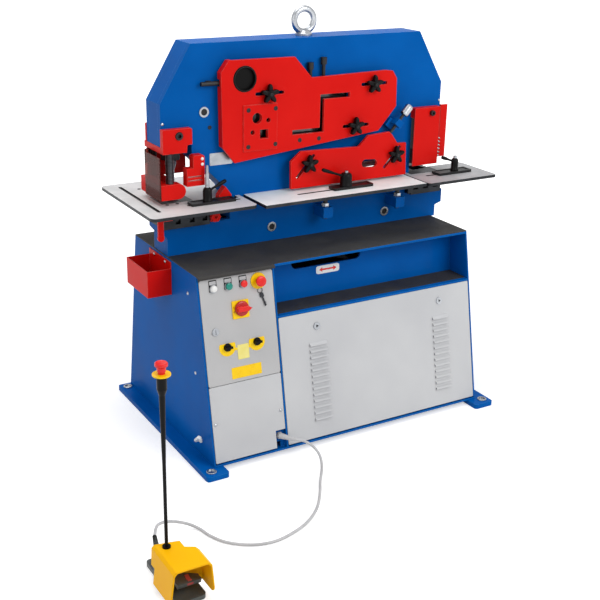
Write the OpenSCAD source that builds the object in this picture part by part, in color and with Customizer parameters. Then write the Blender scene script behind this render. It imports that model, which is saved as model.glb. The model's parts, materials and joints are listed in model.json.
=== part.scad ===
// Hydraulic ironworker with punching, section, flat-bar and notching stations.
// +X runs along the front to the right, +Y to the back, +Z up; the floor is z = 0.
// y = 0 is the front face of the main frame and x = 0 its middle.

/* [Cabinet] */
// Width of the cabinet over its side walls
cab_w = 1208; // [1150:1:1300]
// Height of the top of the mat on the deck
deck_z = 716; // [680:1:760]
// Distance from the frame's front face to the deck's front edge
deck_front = 246; // [220:1:280]
// Distance from the frame's front face to the deck's rear edge
deck_rear = 310; // [280:1:340]
// Distance from the frame's front face to the cabinet's front foot
foot_front = 383; // [350:1:420]
// Distance from the frame's front face to the cabinet's rear foot
foot_rear = 426; // [390:1:460]
// Sheet thickness of the cabinet walls
cab_t = 6; // [4:0.5:8]
// Thickness of the deck plate
deck_t = 8; // [6:0.5:12]
// Thickness of the rubber mats
mat_t = 4; // [3:0.5:6]
// Distance from the cabinet's middle to the wall between its two bays
bay_wall = 296; // [260:1:330]
// Height of the shelf plate's top
shelf_z = 520; // [480:1:560]
// Depth of the recess above the shelf, along the floor
recess_d = 96; // [70:1:120]
// Length of each foot rail
rail_l = 872; // [840:1:940]
// Width of each foot rail
rail_w = 90; // [70:1:110]
// Thickness of each foot rail
rail_t = 19; // [12:1:25]
// Part of each foot rail that stands out past the cabinet wall
rail_out = 54; // [40:1:70]
// Diameter of the anchor holes in the foot rails
anchor_d = 22; // [16:1:26]

/* [Door and covers] */
// Height of the door's lower edge
door_z0 = 314; // [290:1:350]
// Gap round the door and the covers
door_gap = 2; // [1:0.5:4]
// Depth of the folded edge of the door and the covers
tray_d = 16; // [10:1:24]
// Sheet thickness of the door and the covers
tray_t = 2; // [1.5:0.5:3]
// Louvres in each column of the front cover
louvres = 13; // [8:1:15]
// Spacing of the louvres
louvre_pitch = 23.8; // [20:0.1:26]
// Width of a louvre
louvre_w = 76; // [50:1:90]

/* [Frame] */
// Height of the top of the main frame
frame_h = 1482; // [1440:1:1560]
// Width of the main frame at its ends
frame_w = 1236; // [1220:1:1260]
// Distance over the two frame plates
frame_d = 124; // [118:1:140]
// Thickness of each frame plate
plate_t = 25; // [18:1:27]
// Thickness of the rim between the plates
rim_t = 12; // [8:1:13]
// Height of the frame's lower jaws
jaw_z = 826; // [815:1:835]
// Play between the beam and its guide pads
guide_play = 0.3; // [0.2:0.1:0.5]
// Thickness of the moving beam
beam_t = 64; // [60:1:66]
// Working stroke of the beam
stroke = 40; // [30:1:40]

/* [Tables] */
// Height of the table tops
table_z = 915; // [905:1:925]
// Thickness of the tables
table_t = 12; // [8:1:14]
// Diameter of the clamp studs in the table slots
stud_d = 12; // [10:1:14]

/* [Punch station] */
// Distance from the frame's left end to the punch axis
punch_in = 63; // [58:1:66]
// Diameter of the punch
punch_d = 26; // [16:1:30]
// Clearance between the punch and the die, over the diameter
die_play = 1; // [0.5:0.1:2]
// Diameter of the ram
ram_d = 50; // [44:1:56]
// Diameter of the two stripper posts
post_d = 28; // [22:1:32]

/* [Guards] */
// Thickness of the red guard plates
guard_t = 12; // [8:1:14]
// Distance from the frame to the back of the section guard
guard_off = 24; // [20:1:28]
// Width of the angle section's opening
angle_gap = 16; // [12:1:20]
// Diameter of the studs that carry the guards
guard_stud_d = 12; // [10:1:14]
// Height of the flat-bar guard above the table
hold_down_gap = 10; // [8:1:14]

/* [Foot switch] */
// Distance of the foot switch from the frame's middle, to the left
pedal_x = 1000; // [940:1:1060]
// Distance of the foot switch from the frame's front face
pedal_y = 970; // [900:1:1040]
// Height of the top of the hood
hood_h = 138; // [120:1:150]
// Height of the top of the emergency button on its post
post_top = 745; // [680:1:820]
// Diameter of the cable
cable_d = 10; // [8:1:12]

/* [Hidden] */
$fn = 48;

// Running clearance between pieces that move past one another
play = 0.3;
deck_top = deck_z - mat_t;
deck_under = deck_top - deck_t;
cab_x = cab_w / 2;
bay_x = -bay_wall;
slope = (foot_front - deck_front) / (deck_z - rail_t);
rear_slope = (foot_rear - deck_rear) / (deck_z - rail_t);
tilt = atan(slope);
function front_y(z) = -deck_front - (deck_z - z) * slope;
function rear_y(z) = deck_rear + (deck_z - z) * rear_slope;

frame_x = frame_w / 2;
gap_y0 = plate_t;
gap_y1 = frame_d - plate_t;
mid_y = frame_d / 2;
beam_y0 = mid_y - beam_t / 2;
punch_x = -frame_x + punch_in;
notch_x = 555;
throat_x = -498;
throat_low_x = -345;
nose_z = 1125;
right_throat_x = 480;
right_nose_z = 1140;
table_under = table_z - table_t;
frame_pts = [[-602, deck_top], [-602, 784], [-frame_x - 2, 805], [-frame_x - 2, jaw_z],
    [throat_low_x, jaw_z], [throat_low_x, 932], [throat_x, 1085], [throat_x, nose_z],
    [-frame_x, nose_z], [-frame_x, 1278], [-497, frame_h], [497, frame_h], [frame_x, 1278],
    [frame_x, right_nose_z], [right_throat_x, right_nose_z], [right_throat_x, jaw_z],
    [frame_x + 40, jaw_z], [frame_x + 40, 770], [627, 760], [627, deck_top]];
// Edges of the outline that the rim closes: not the foot, the noses or the jaws
rim_edges = [0, 1, 2, 4, 5, 6, 8, 9, 10, 11, 12, 14, 16, 17, 18];

// Windows for the tools, as [left, bottom, right, top]
shear_win = [-60, 880, 430, 985];
angle_win = [-112, 1095, 162, 1290];
bar_win = [-305, 1105, -175, 1245];
// Corners of the angle section's opening
angle_x = 30;
angle_left = -98;
angle_right = 152;
angle_low = 1139;
angle_high = 1264;
round_bar = [-252, 1207];
round_bar_d = 38;
square_bar = [-223, 1147];
square_bar_w = 32;
small_bars = [[-205, 1197], [-271, 1156]];
guide_spots = [[-448, 1239], [-164, 772], [365, 765], [200, 1312]];
pad_d = 44;

// Guard studs and the direction in which the flat-bar guard slides
section_studs = [[-205, 1294], [257, 1298], [178, 1142]];
shear_studs = [[-36, 1018], [366, 1014]];
slide_a = 48;
slide_dir = [cos(slide_a), sin(slide_a)];
section_y = -guard_off - guard_t;
shear_y = section_y - 2 - guard_t;
section_travel = 60;
shear_travel = 34;
spindle_c = [396, 1157];
spindle_l = 77;
spindle_foot = spindle_c - slide_dir * spindle_l;
foot_w = 9 * [sin(slide_a), -cos(slide_a)];

left_stop_c = [-462, -52];
middle_stop_c = [111, -95];
right_stop_c = [653, -80];
left_slot = [-537, -333];
middle_slot = [-100, 215];
right_slot = [515, 735];
lever_boss_h = 52;
// Brackets under the middle table
bracket_x = [45, 388];

post_dy = 74;
post_x = punch_x - 37;
shield_c = [-611, 126];
shield_pin_d = 8;
yoke_z = nose_z - 22;
stripper_z = 938;
stripper_h = 56;

// Places on the door, as [x, height above the floor]
lamp_c = [-543, 662];
start_c = [-483, 662];
stop_c = [-423, 662];
estop_c = [-362, 664];
switch_c = [-443, 574];
lock_c = [-549, 508];
left_sel_c = [-508, 446];
right_sel_c = [-388, 446];
cover_lock_z = 457;
button_d = 20;
push_travel = 4;
door_z1 = 697;
door_right = bay_x - cab_t / 2 - door_gap;
hinge_in = 4;
hinge_pin_d = 4;
gland_x = -322;
gland_z = 74;
gland_d = 18;
louvre_x = [-131, 445];
louvre_z0 = 99;

cyl_x = 100;
bore_d = 90;
rod_d = 50;
piston_z = 520;
beam_z0 = deck_top + stroke + 4;
box_y0 = -35;
box_y1 = 165;
box_z0 = 578;
box_z1 = 680;
box_out = 96;

base_len = 176;
base_w = 99;
base_h = 14;
treadle_y = 31;
treadle_z = 58;
treadle_pin_d = 10;
post_c = [-1025, -916];

// Route of the cable's middle line, from the cabinet to the foot switch
cable_pts = [[-283, -410, 68], [-252, -425, 60], [-228, -452, 44], [-222, -490, 24],
    [-240, -535, 9], [-270, -580, 5], [-302, -625, 5], [-350, -700, 5], [-410, -775, 5],
    [-490, -835, 5], [-590, -870, 5], [-660, -870, 5], [-720, -845, 5], [-772, -798, 5],
    [-800, -740, 5], [-812, -692, 6], [-842, -668, 20], [-890, -672, 46], [-945, -706, 80],
    [-988, -752, 104], [-1015, -800, 104]];
cable_path = smooth(cable_pts, 3);
cable_end = cable_path[len(cable_path) - 1];
relief_end = [-1029, -860, 66];

module xz_plate(y0, t) {
    translate([0, y0 + t, 0])
        rotate([90, 0, 0])
            linear_extrude(t)
                children();
}

module yz_wall(x0, t) {
    translate([x0, 0, 0])
        rotate([90, 0, 90])
            linear_extrude(t)
                children();
}

// Places children on the sloping front: x to the right, z up the slope, -y outward
module on_front() {
    translate([0, front_y(0), 0])
        rotate([-tilt, 0, 0])
            children();
}

// Height up the slope of a point at height z above the floor
function up(z) = z / cos(tilt);

module rounded(w, h, r) {
    translate([r, 0])
        square([w - 2 * r, h]);
    translate([0, r])
        square([w, h - 2 * r]);
    for (x = [r, w - r], y = [r, h - r])
        translate([x, y])
            circle(r);
}

module slot2d(a, b, d) {
    v = b - a;
    l = norm(v);
    for (p = [a, b])
        translate(p)
            circle(d = d);
    translate(a)
        rotate(atan2(v.y, v.x))
            translate([0, -d / 2 + 0.02])
                square([l, d - 0.04]);
}

module ring(od, id, h) {
    difference() {
        cylinder(d = od, h = h);
        translate([0, 0, -1])
            cylinder(d = id, h = h + 2);
    }
}

module window(w, grow = 0) {
    translate([w[0] - grow, w[1] - grow])
        square([w[2] - w[0] + 2 * grow, w[3] - w[1] + 2 * grow]);
}

module cab_outline(z0, z1, inset = 0) {
    polygon([[front_y(z0) + inset, z0], [rear_y(z0) - inset, z0], [rear_y(z1) - inset, z1],
        [front_y(z1) + inset, z1]]);
}

module foot_rails() {
    color("royalblue")
        for (s = [-1, 1])
            difference() {
                translate([s * (cab_x + rail_out) - (s > 0 ? rail_w : 0), -rail_l / 2, 0])
                    linear_extrude(rail_t)
                        rounded(rail_w, rail_l, 12);
                for (y = [-1, 1])
                    translate([s * (cab_x + rail_out - 32), y * (rail_l / 2 - 34), -1])
                        cylinder(d = anchor_d, h = rail_t + 2);
            }
}

module cabinet() {
    sill = rail_t + cab_t;
    recess_back = front_y(shelf_z) + 22 + recess_d;
    color("royalblue")
        difference() {
            union() {
                difference() {
                    yz_wall(-cab_x, cab_w)
                        cab_outline(rail_t, deck_top);
                    for (b = [[-cab_x + cab_t, bay_x - cab_t / 2], [bay_x + cab_t / 2, cab_x - cab_t]])
                        yz_wall(b[0], b[1] - b[0])
                            polygon([[front_y(sill) - 1, sill], [rear_y(sill) - cab_t, sill],
                                [rear_y(deck_under) - cab_t, deck_under],
                                [front_y(deck_under) - 1, deck_under]]);
                }
                // Shelf and the recess's back wall
                yz_wall(bay_x, cab_x - bay_x - 1)
                    polygon([[front_y(shelf_z), shelf_z], [recess_back + 3, shelf_z],
                        [recess_back + 22, deck_under + 1], [recess_back + 26, deck_under + 1],
                        [recess_back + 26 - cab_t, shelf_z - cab_t],
                        [front_y(shelf_z - cab_t), shelf_z - cab_t]]);
                // Plate of the cable gland, and the upper hinge lug of the door
                on_front() {
                    translate([gland_x - 18, tray_d + play, up(gland_z) - 24])
                        cube([bay_x - gland_x + 14, cab_t, 48]);
                    translate([door_right - 9, 2, up(door_z1) + door_gap])
                        cube([door_gap + 9.5, tray_d, 3]);
                    translate([door_right - hinge_in, hinge_in, up(door_z1) - 4])
                        cylinder(d = hinge_pin_d, h = door_gap + 5, $fn = 24);
                }
                // Strips that the door and the covers close against
                for (x = [-cab_x + 1, bay_x - cab_t / 2 - 19])
                    on_front()
                        translate([x, tray_d + play, up(sill - 1)])
                            cube([24, cab_t, up(deck_under - sill)]);
                for (x = [bay_x, cab_x - 25])
                    on_front()
                        translate([x, tray_d + play, up(sill - 1)])
                            cube([24, cab_t, up(shelf_z - cab_t - sill)]);
            }
            // Long slot for the hoses and the stroke stops
            xz_plate(-250, 240)
                slot2d([-137, 662], [132, 662], 46);
            // Hole for the piston rod
            translate([cyl_x, mid_y, deck_under - 1])
                cylinder(d = 62, h = deck_t + 2);
            // Hole of the cable gland
            on_front()
                translate([gland_x, tray_d + 20, up(gland_z)])
                    rotate([90, 0, 0])
                        cylinder(d = gland_d + 2 * play, h = 30);
        }
}

module rubber_mats() {
    lip = 20;
    color("dimgray") {
        translate([0, 0, deck_top])
            linear_extrude(mat_t)
                difference() {
                    translate([-cab_x, -deck_front])
                        square([cab_w, deck_front + deck_rear]);
                    translate([-602 - play, -play])
                        square([1229 + 2 * play, frame_d + 2 * play]);
                }
        yz_wall(-cab_x, cab_x + bay_x)
            polygon([[-deck_front + 2, deck_z], [-deck_front - lip + 6, deck_z],
                [-deck_front - lip, deck_z - 5], [-deck_front - lip, deck_z - 12],
                [-deck_front - lip + 4, deck_z - 12], [-deck_front - lip + 4, deck_top - 2],
                [-deck_front - 1, deck_top], [-deck_front + 2, deck_top]]);
        translate([bay_x + cab_t, front_y(shelf_z) + 22, shelf_z])
            cube([cab_x - bay_x - 2 * cab_t - 1, recess_d, mat_t]);
    }
}

// Shallow folded cover that fills an opening of the sloping front
module tray(x0, x1, z0, z1, r, d = tray_d) {
    w = x1 - x0;
    h = up(z1 - z0);
    translate([x0, d, up(z0)])
        rotate([90, 0, 0])
            difference() {
                linear_extrude(d)
                    rounded(w, h, r);
                translate([tray_t, tray_t, -1])
                    linear_extrude(d - tray_t + 1)
                        rounded(w - 2 * tray_t, h - 2 * tray_t, max(r - tray_t, 1));
            }
}

module lower_panel() {
    z0 = rail_t + 13;
    z1 = door_z0 - door_gap;
    color("lightgray")
        on_front() {
            difference() {
                tray(-cab_x + cab_t + door_gap, door_right, z0, z1, 4);
                translate([gland_x - 20, -5, up(z0) - 5])
                    cube([60, tray_d + 10, up(71)]);
                for (p = [[-cab_x + 20, 176], [bay_x - 18, 172]])
                    translate([p[0], 4, up(p[1])])
                        rotate([90, 0, 0])
                            cylinder(d = 6, h = 8);
            }
            // Lower hinge pin of the door
            translate([door_right - hinge_in, hinge_in, up(z1) - 2])
                cylinder(d = hinge_pin_d, h = door_gap + 7, $fn = 24);
        }
}

module louvre_hood() {
    rotate([90, 0, 90])
        linear_extrude(louvre_w)
            polygon([[0.5, 13], [-8, 5], [-9, 0], [-7.4, 0], [-6.4, 4.4], [0.5, 10.4]]);
}

module front_cover() {
    z0 = rail_t + 13;
    color("lightgray")
        on_front() {
            difference() {
                tray(bay_x + cab_t / 2 + door_gap, cab_x - cab_t - door_gap, z0,
                    shelf_z - cab_t - 1, 4);
                for (x = louvre_x)
                    translate([x, tray_d, up(cover_lock_z)])
                        rotate([90, 0, 0])
                            cylinder(d = 22, h = tray_d + 2);
                for (x = louvre_x, i = [0:louvres - 1])
                    translate([x - louvre_w / 2 + 2, -2, up(louvre_z0 + i * louvre_pitch)])
                        cube([louvre_w - 4, 8, 6]);
            }
            for (x = louvre_x, i = [0:louvres - 1])
                translate([x - louvre_w / 2, 0, up(louvre_z0 + i * louvre_pitch)])
                    louvre_hood();
        }
}

module cover_locks() {
    color("silver")
        on_front()
            for (x = louvre_x)
                translate([x, 0, up(cover_lock_z)])
                    rotate([90, 0, 0]) {
                        difference() {
                            translate([0, 0, 0.2])
                                cylinder(d = 28, h = 4);
                            translate([0, 0, 2])
                                cylinder(d = 15, h = 5, $fn = 3);
                        }
                        translate([0, 0, -22])
                            cylinder(d = 21, h = 22.2);
                        translate([-9, -9, -26])
                            cube([46, 18, 4]);
                    }
}

module tool_windows() {
    for (w = [shear_win, angle_win, bar_win])
        window(w);
}

module front_plate() {
    color("royalblue")
        difference() {
            union() {
                xz_plate(0, plate_t)
                    difference() {
                        polygon(frame_pts);
                        tool_windows();
                        for (p = guide_spots)
                            translate(p)
                                circle(d = 24);
                    }
                // Brackets that carry the middle table
                for (x = bracket_x)
                    translate([x - 21, -78, 798])
                        cube([42, 78, 42]);
                // Lug for the two screws that set the section hold-down
                translate([-36, -23, 1292])
                    cube([106, 23, 26]);
                // Bracket that guides the spindle
                translate([spindle_c[0], 0, spindle_c[1]])
                    rotate([0, -slide_a, 0]) {
                        translate([-40, shear_y + guard_t / 2 - 16, -16])
                            cube([26, -shear_y - guard_t / 2 + 16, 32]);
                        translate([-60, -22, -26])
                            cube([36, 22, 52]);
                    }
            }
            translate([spindle_c[0], shear_y + guard_t / 2, spindle_c[1]])
                rotate([0, -slide_a, 0])
                    translate([-70, 0, 0])
                        rotate([0, 90, 0])
                            cylinder(d = 12 + 2 * play, h = 90);
        }
}

module back_plate() {
    color("royalblue")
        xz_plate(gap_y1, plate_t)
            difference() {
                polygon(frame_pts);
                tool_windows();
                for (p = guide_spots)
                    translate(p)
                        circle(d = 24);
            }
}

// Inner corner of the rim at corner i of the frame's outline
function mitre(i) =
    let (n = len(frame_pts), p = frame_pts[i % n], u = unit(p - frame_pts[(i + n - 1) % n]),
        v = unit(frame_pts[(i + 1) % n] - p))
    p + [u.y + v.y, -u.x - v.x] * rim_t / (1 + u * v);

function closed(i) = len(search(i, rim_edges)) > 0;

// Strips along the edges of the outline, mitred where they meet
module frame_rim() {
    color("royalblue")
        xz_plate(gap_y0, gap_y1 - gap_y0)
            for (i = rim_edges) {
                p = frame_pts[i];
                q = frame_pts[i + 1];
                d = unit(q - p);
                n = [d.y, -d.x] * rim_t;
                polygon([p + d * 0.08, q - d * 0.08,
                    (closed(i + 1) ? mitre(i + 1) : q + n) - d * 0.08,
                    (closed(i - 1) ? mitre(i) : p + n) + d * 0.08]);
            }
}

module lifting_eye() {
    color("silver") {
        translate([0, mid_y, frame_h])
            rotate_extrude()
                polygon([[0, 0], [32, 0], [32, 8], [20, 20], [0, 20]]);
        translate([0, mid_y, frame_h + 55])
            rotate([90, 0, 0])
                rotate_extrude()
                    translate([42, 0])
                        circle(d = 24, $fn = 24);
    }
}

module table_plate(under) {
    translate([0, 0, under])
        linear_extrude(table_t)
            children();
}

module left_table() {
    color("gainsboro")
        table_plate(table_under)
            difference() {
                translate([-725, -157])
                    rounded(419, 507, 22);
                translate([throat_low_x - play, -play])
                    square([80, frame_d + 2 * play]);
                // Notch round the throat clamp
                translate([-408, -32])
                    square([84, 40]);
                // Opening for the die block
                translate([punch_x - 62 - play, mid_y - 56 - play])
                    square([124 + 2 * play, 112 + 2 * play]);
                slot2d([left_slot[0], left_stop_c[1]], [left_slot[1], left_stop_c[1]],
                    stud_d + 1);
                slot2d([-664, -78], [-664, 297], 14);
                translate([-672, 94])
                    square([14, 16]);
            }
}

module middle_table() {
    color("gainsboro")
        table_plate(table_under)
            difference() {
                translate([-286, -178])
                    square([726, 178 - play]);
                slot2d([middle_slot[0], middle_stop_c[1]], [middle_slot[1], middle_stop_c[1]],
                    stud_d + 1);
            }
}

module right_table() {
    color("gainsboro")
        table_plate(table_under)
            difference() {
                translate([447, -188])
                    rounded(343, 238, 12);
                translate([440, -play])
                    square([right_throat_x - 440, 60]);
                translate([right_throat_x - 10, -32])
                    square([142, 90]);
                slot2d([right_slot[0], right_stop_c[1]], [right_slot[1], right_stop_c[1]],
                    stud_d + 1);
            }
}

module angle_opening(grow = 0) {
    g = angle_gap / 2 + grow;
    translate([angle_left - grow, angle_low - g])
        square([angle_x - angle_left + g + grow, 2 * g]);
    translate([angle_x - g, angle_low - g])
        square([2 * g, angle_high - angle_low + 2 * g]);
    translate([angle_x - g, angle_high - g])
        square([angle_right - angle_x + g + grow, 2 * g]);
}

// Blade bars round the angle section's opening
module angle_blades() {
    x0 = angle_x - angle_gap / 2;
    x1 = angle_x + angle_gap / 2;
    z = [angle_low - angle_gap / 2, angle_low + angle_gap / 2, angle_high - angle_gap / 2,
        angle_high + angle_gap / 2];
    w = angle_win;
    for (b = [[w[0], w[1], x1, z[0]], [x1, w[1], w[2], z[2]], [x0, z[3], w[2], w[3]],
            [w[0], z[1], x0, w[3]], [w[0], z[0], angle_left, z[1]], [angle_right, z[2], w[2], z[3]]])
        window(b, -0.05);
}

module bar_openings(grow = 0) {
    translate(round_bar)
        circle(d = round_bar_d + 2 * grow);
    translate(square_bar - [1, 1] * (square_bar_w / 2 + grow))
        square(square_bar_w + 2 * grow);
    for (p = small_bars)
        translate(p)
            circle(d = 16 + 2 * grow);
}

module section_guard() {
    color("red") {
        difference() {
            xz_plate(section_y, guard_t)
                difference() {
                    polygon([[-396, 1379], [-364, 1421], [-92, 1419], [-18, 1339], [318, 1346],
                        [350, 1342], [370, 1312], [373, 1203], [293, 1113], [-342, 1048],
                        [-391, 1109]]);
                    translate([-300, 1352])
                        circle(d = 84);
                    for (p = section_studs)
                        slot2d(p - [46, 0], p + [section_travel + 2, 0], guard_stud_d + 1);
                    angle_opening(1);
                    bar_openings(1);
                }
            // Recess of the black sight ring
            translate([-300, section_y - 1, 1352])
                rotate([-90, 0, 0])
                    cylinder(d = 94, h = 4);
        }
        // Folded left edge, notched for the stop rod
        difference() {
            xz_plate(-guard_off - 0.5, guard_off - 5)
                polygon([[-396, 1379], [-364, 1421], [-350, 1421], [-384, 1375], [-380, 1112],
                    [-391, 1109]]);
            translate([-420, -guard_off, 1328])
                cube([60, guard_off, 26]);
        }
        // Raised plate round the bar openings
        xz_plate(section_y - 6.1, 6)
            difference() {
                translate([-308, 1087])
                    square([140, 170]);
                bar_openings(1);
            }
    }
}

module shear_guard() {
    z0 = table_z + hold_down_gap;
    color("red")
        xz_plate(shear_y, guard_t)
            difference() {
                // The short edge square to the slide is the foot of the spindle
                polygon([[-66, 1067], [-111, 1031], [-109, z0], [427, z0], [421, 1055],
                    [379, 1057], spindle_foot + foot_w, spindle_foot - foot_w, [239, 1100],
                    [195, 1060]]);
                for (p = shear_studs)
                    slot2d(p - slide_dir * (shear_travel + 32), p + slide_dir * 36,
                        guard_stud_d + 1);
                slot2d([228, 990], [268, 987], 32);
            }
}

module hold_down_spindle() {
    color("dimgray")
        translate([spindle_c[0], shear_y + guard_t / 2, spindle_c[1]])
            rotate([0, -slide_a, 0])
                rotate([0, 90, 0]) {
                    translate([0, 0, -spindle_l])
                        cylinder(d = 12, h = spindle_l + 26);
                    translate([0, 0, 12])
                        rotate_extrude()
                            polygon([[6.5, 0], [15, 2], [17, 6], [17, 40], [14, 46], [0, 48],
                                [0, 0]]);
                }
}

// Star knob with five rounded lobes and a blind bore for its stud
module star_knob(c, y) {
    color("black")
        translate([c[0], y, c[1]])
            rotate([90, 0, 0])
                difference() {
                    union() {
                        cylinder(d = 34, h = 30);
                        for (i = [0:4])
                            rotate(90 + i * 72) {
                                translate([0, -7, 8])
                                    cube([27, 14, 17]);
                                translate([27, 0, 8])
                                    cylinder(d = 19, h = 17, $fn = 24);
                            }
                    }
                    translate([0, 0, -1])
                        cylinder(d = guard_stud_d + 2 * play, h = 21);
                }
}

module knob_1() { star_knob(section_studs[0], section_y - play); }
module knob_2() { star_knob(section_studs[1], section_y - play); }
module knob_3() { star_knob(section_studs[2], section_y - play); }
module knob_4() { star_knob(shear_studs[0], shear_y - play); }
module knob_5() { star_knob(shear_studs[1], shear_y - play); }

module guard_stud(c, back) {
    translate([c[0], 0, c[1]])
        rotate([90, 0, 0]) {
            cylinder(d = guard_stud_d, h = -back + guard_t + 17);
            cylinder(d = 26, h = -back - play);
        }
}

module frame_screws() {
    pad_h = beam_y0 - gap_y0 - guide_play;
    color("silver") {
        // Guide screws with their pads on both sides of the beam
        for (p = guide_spots)
            for (s = [0, 1])
                translate([p[0], s * frame_d, p[1]])
                    mirror([0, s, 0])
                        rotate([-90, 0, 0]) {
                            translate([0, 0, gap_y0])
                                cylinder(d = pad_d, h = pad_h);
                            cylinder(d = 23.6, h = gap_y0);
                            translate([0, 0, -4])
                                ring(38, 24, 4);
                        }
        for (p = section_studs)
            guard_stud(p, -guard_off);
        for (p = shear_studs)
            guard_stud(p, shear_y + guard_t);
        // Setting screws of the section hold-down
        for (p = [[-12, 1366], [46, 1382]])
            translate([p[0], -13, 1318]) {
                cylinder(d = 14, h = p[1] - 1318);
                translate([0, 0, p[1] - 1318])
                    cylinder(d = 24, h = 26);
            }
        // Stop rod at the left of the section guard
        translate([-466, -16, 1341])
            rotate([0, 90, 0])
                cylinder(d = 16, h = 94);
        translate([-440, -9, 1332])
            cube([18, 9, 18]);
        // Studs under the middle table
        for (x = bracket_x)
            translate([x, -54, 840]) {
                cylinder(d = 18, h = table_under - 840);
                cylinder(d = 30, h = 14, $fn = 6);
                translate([0, 0, -50])
                    cylinder(d = 20, h = 8, $fn = 6);
            }
    }
}

module punch_yoke() {
    x0 = -frame_x - 2;
    color("red")
        difference() {
            union() {
                for (p = [[-22 - play, 22], [frame_d + play, 12]])
                    xz_plate(p[0], p[1])
                        polygon([[x0, yoke_z], [-527, yoke_z], [-524, 1130], [-505, 1132],
                            [-505, 1186], [-510, 1191], [x0, 1191]]);
                translate([x0, -22 - play, yoke_z])
                    cube([-527 - x0, frame_d + 44 + 2 * play, nose_z - yoke_z - play]);
                // Guard plate behind the punch, and its ledge
                translate([-606, 157, 984])
                    cube([154, 5, 128]);
                translate([-606, 140, yoke_z])
                    cube([79, 19, 9]);
            }
            translate([shield_c[0], shield_c[1], yoke_z - 1])
                cylinder(d = shield_pin_d + 2 * play, h = 12);
            translate([punch_x, mid_y, yoke_z - 1])
                cylinder(d = ram_d + 8, h = 40);
            for (s = [-1, 1])
                translate([post_x, mid_y + s * post_dy, yoke_z - 1])
                    cylinder(d = post_d * 0.6 + 2 * play, h = 19);
            translate([-556, -30, 1165])
                rotate([-90, 0, 0])
                    cylinder(d = 30, h = frame_d + 60);
        }
}

module stripper_posts() {
    color("dimgray") {
        for (s = [-1, 1])
            translate([post_x, mid_y + s * post_dy, stripper_z + 1]) {
                cylinder(d = post_d, h = yoke_z - stripper_z - 1);
                cylinder(d = post_d * 0.6, h = yoke_z - stripper_z + 16);
            }
        // Screws that hold the yoke to the frame's nose
        for (s = [0, 1])
            translate([-556, s * frame_d, 1165])
                mirror([0, s, 0])
                    rotate([90, 0, 0])
                        difference() {
                            translate([0, 0, play])
                                cylinder(d = 28, h = 26 - s * 10);
                            translate([0, 0, 16 - s * 10])
                                cylinder(d = 16, h = 12, $fn = 6);
                        }
    }
}

module stripper() {
    x0 = -frame_x - 16;
    y0 = mid_y - post_dy - 20;
    depth = 2 * post_dy + 40;
    color("red")
        difference() {
            union() {
                difference() {
                    xz_plate(y0, depth) {
                        translate([x0, stripper_z])
                            square([68, stripper_h]);
                        translate([x0 + 68, stripper_z + stripper_h / 2])
                            circle(d = stripper_h);
                    }
                    translate([x0 + 32, y0 + 40, stripper_z + 14])
                        cube([100, depth - 80, stripper_h]);
                }
                translate([punch_x, mid_y, stripper_z])
                    cylinder(d = 66, h = 14);
            }
            translate([punch_x, mid_y, stripper_z - 1])
                cylinder(d = punch_d + 16, h = 20);
            for (s = [-1, 1])
                translate([post_x, mid_y + s * post_dy, stripper_z - 1])
                    cylinder(d = post_d + 2 * play, h = stripper_h + 2);
        }
}

module punch_guard() {
    // Tinted sheet with a tab on a hinge pin at the back
    x0 = -frame_x - 21.5;
    color("gray", 0.5) {
        translate([x0, -34, 936])
            cube([3.5, 136, 159]);
        translate([0, 0, 1050])
            linear_extrude(51) {
                polygon([[x0, 95], [x0 + 3.5, 95], [shield_c[0] + 2, shield_c[1] - 4],
                    [shield_c[0] - 3, shield_c[1] + 3], [x0, 102]]);
                translate(shield_c)
                    circle(d = 12);
            }
        translate([shield_c[0], shield_c[1], 1060])
            cylinder(d = shield_pin_d, h = 52);
    }
}

module throat_brackets() {
    color("red") {
        difference() {
            xz_plate(-34, 34)
                polygon([[-534, 980], [-463, 980], [-463, 1086], [-470, 1092], [-502, 1092],
                    [-508, 1086], [-508, 1046], [-534, 1046]]);
            // Grooves across the front
            for (z = [998, 1012])
                translate([-530, -36, z])
                    cube([56, 10, 5]);
            for (z = [1058, 1076])
                translate([-472, -40, z])
                    rotate([-90, 0, 0])
                        cylinder(d = 7, h = 50);
        }
        // Clamp at the lower corner of the throat, and its nut
        xz_plate(-28, 28)
            polygon([[-438, 834], [-438, 870], [-404, 885], [-404, 930], [-376, 962], [-352, 930],
                [-345, 890], [-345, 862], [-404, 862], [-408, 834]]);
        translate([-422, -28, 854])
            rotate([90, 0, 0])
                difference() {
                    cylinder(d = 40, h = 14, $fn = 6);
                    translate([0, 0, 4])
                        cylinder(d = 12, h = 12);
                }
    }
}

module die_bolster() {
    color("dimgray")
        difference() {
            union() {
                translate([-frame_x - 6, -25, jaw_z])
                    cube([184, frame_d + 50, table_under - jaw_z]);
                translate([punch_x - 62, mid_y - 56, table_under - 1])
                    cube([124, 112, table_t + 1]);
                // Pin of the die lever
                translate([-598, -40, 872])
                    rotate([-90, 0, 0])
                        cylinder(d = 10, h = 16);
            }
            translate([punch_x, mid_y, table_z - 36])
                cylinder(d = 60, h = 40);
            translate([punch_x, mid_y, jaw_z - 1])
                cylinder(d = punch_d + 14, h = 100);
            // Pockets of the clamp screws
            for (x = [-578, -522, -470])
                translate([x, -30, 842])
                    cube([20, 22, 34]);
        }
}

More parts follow.
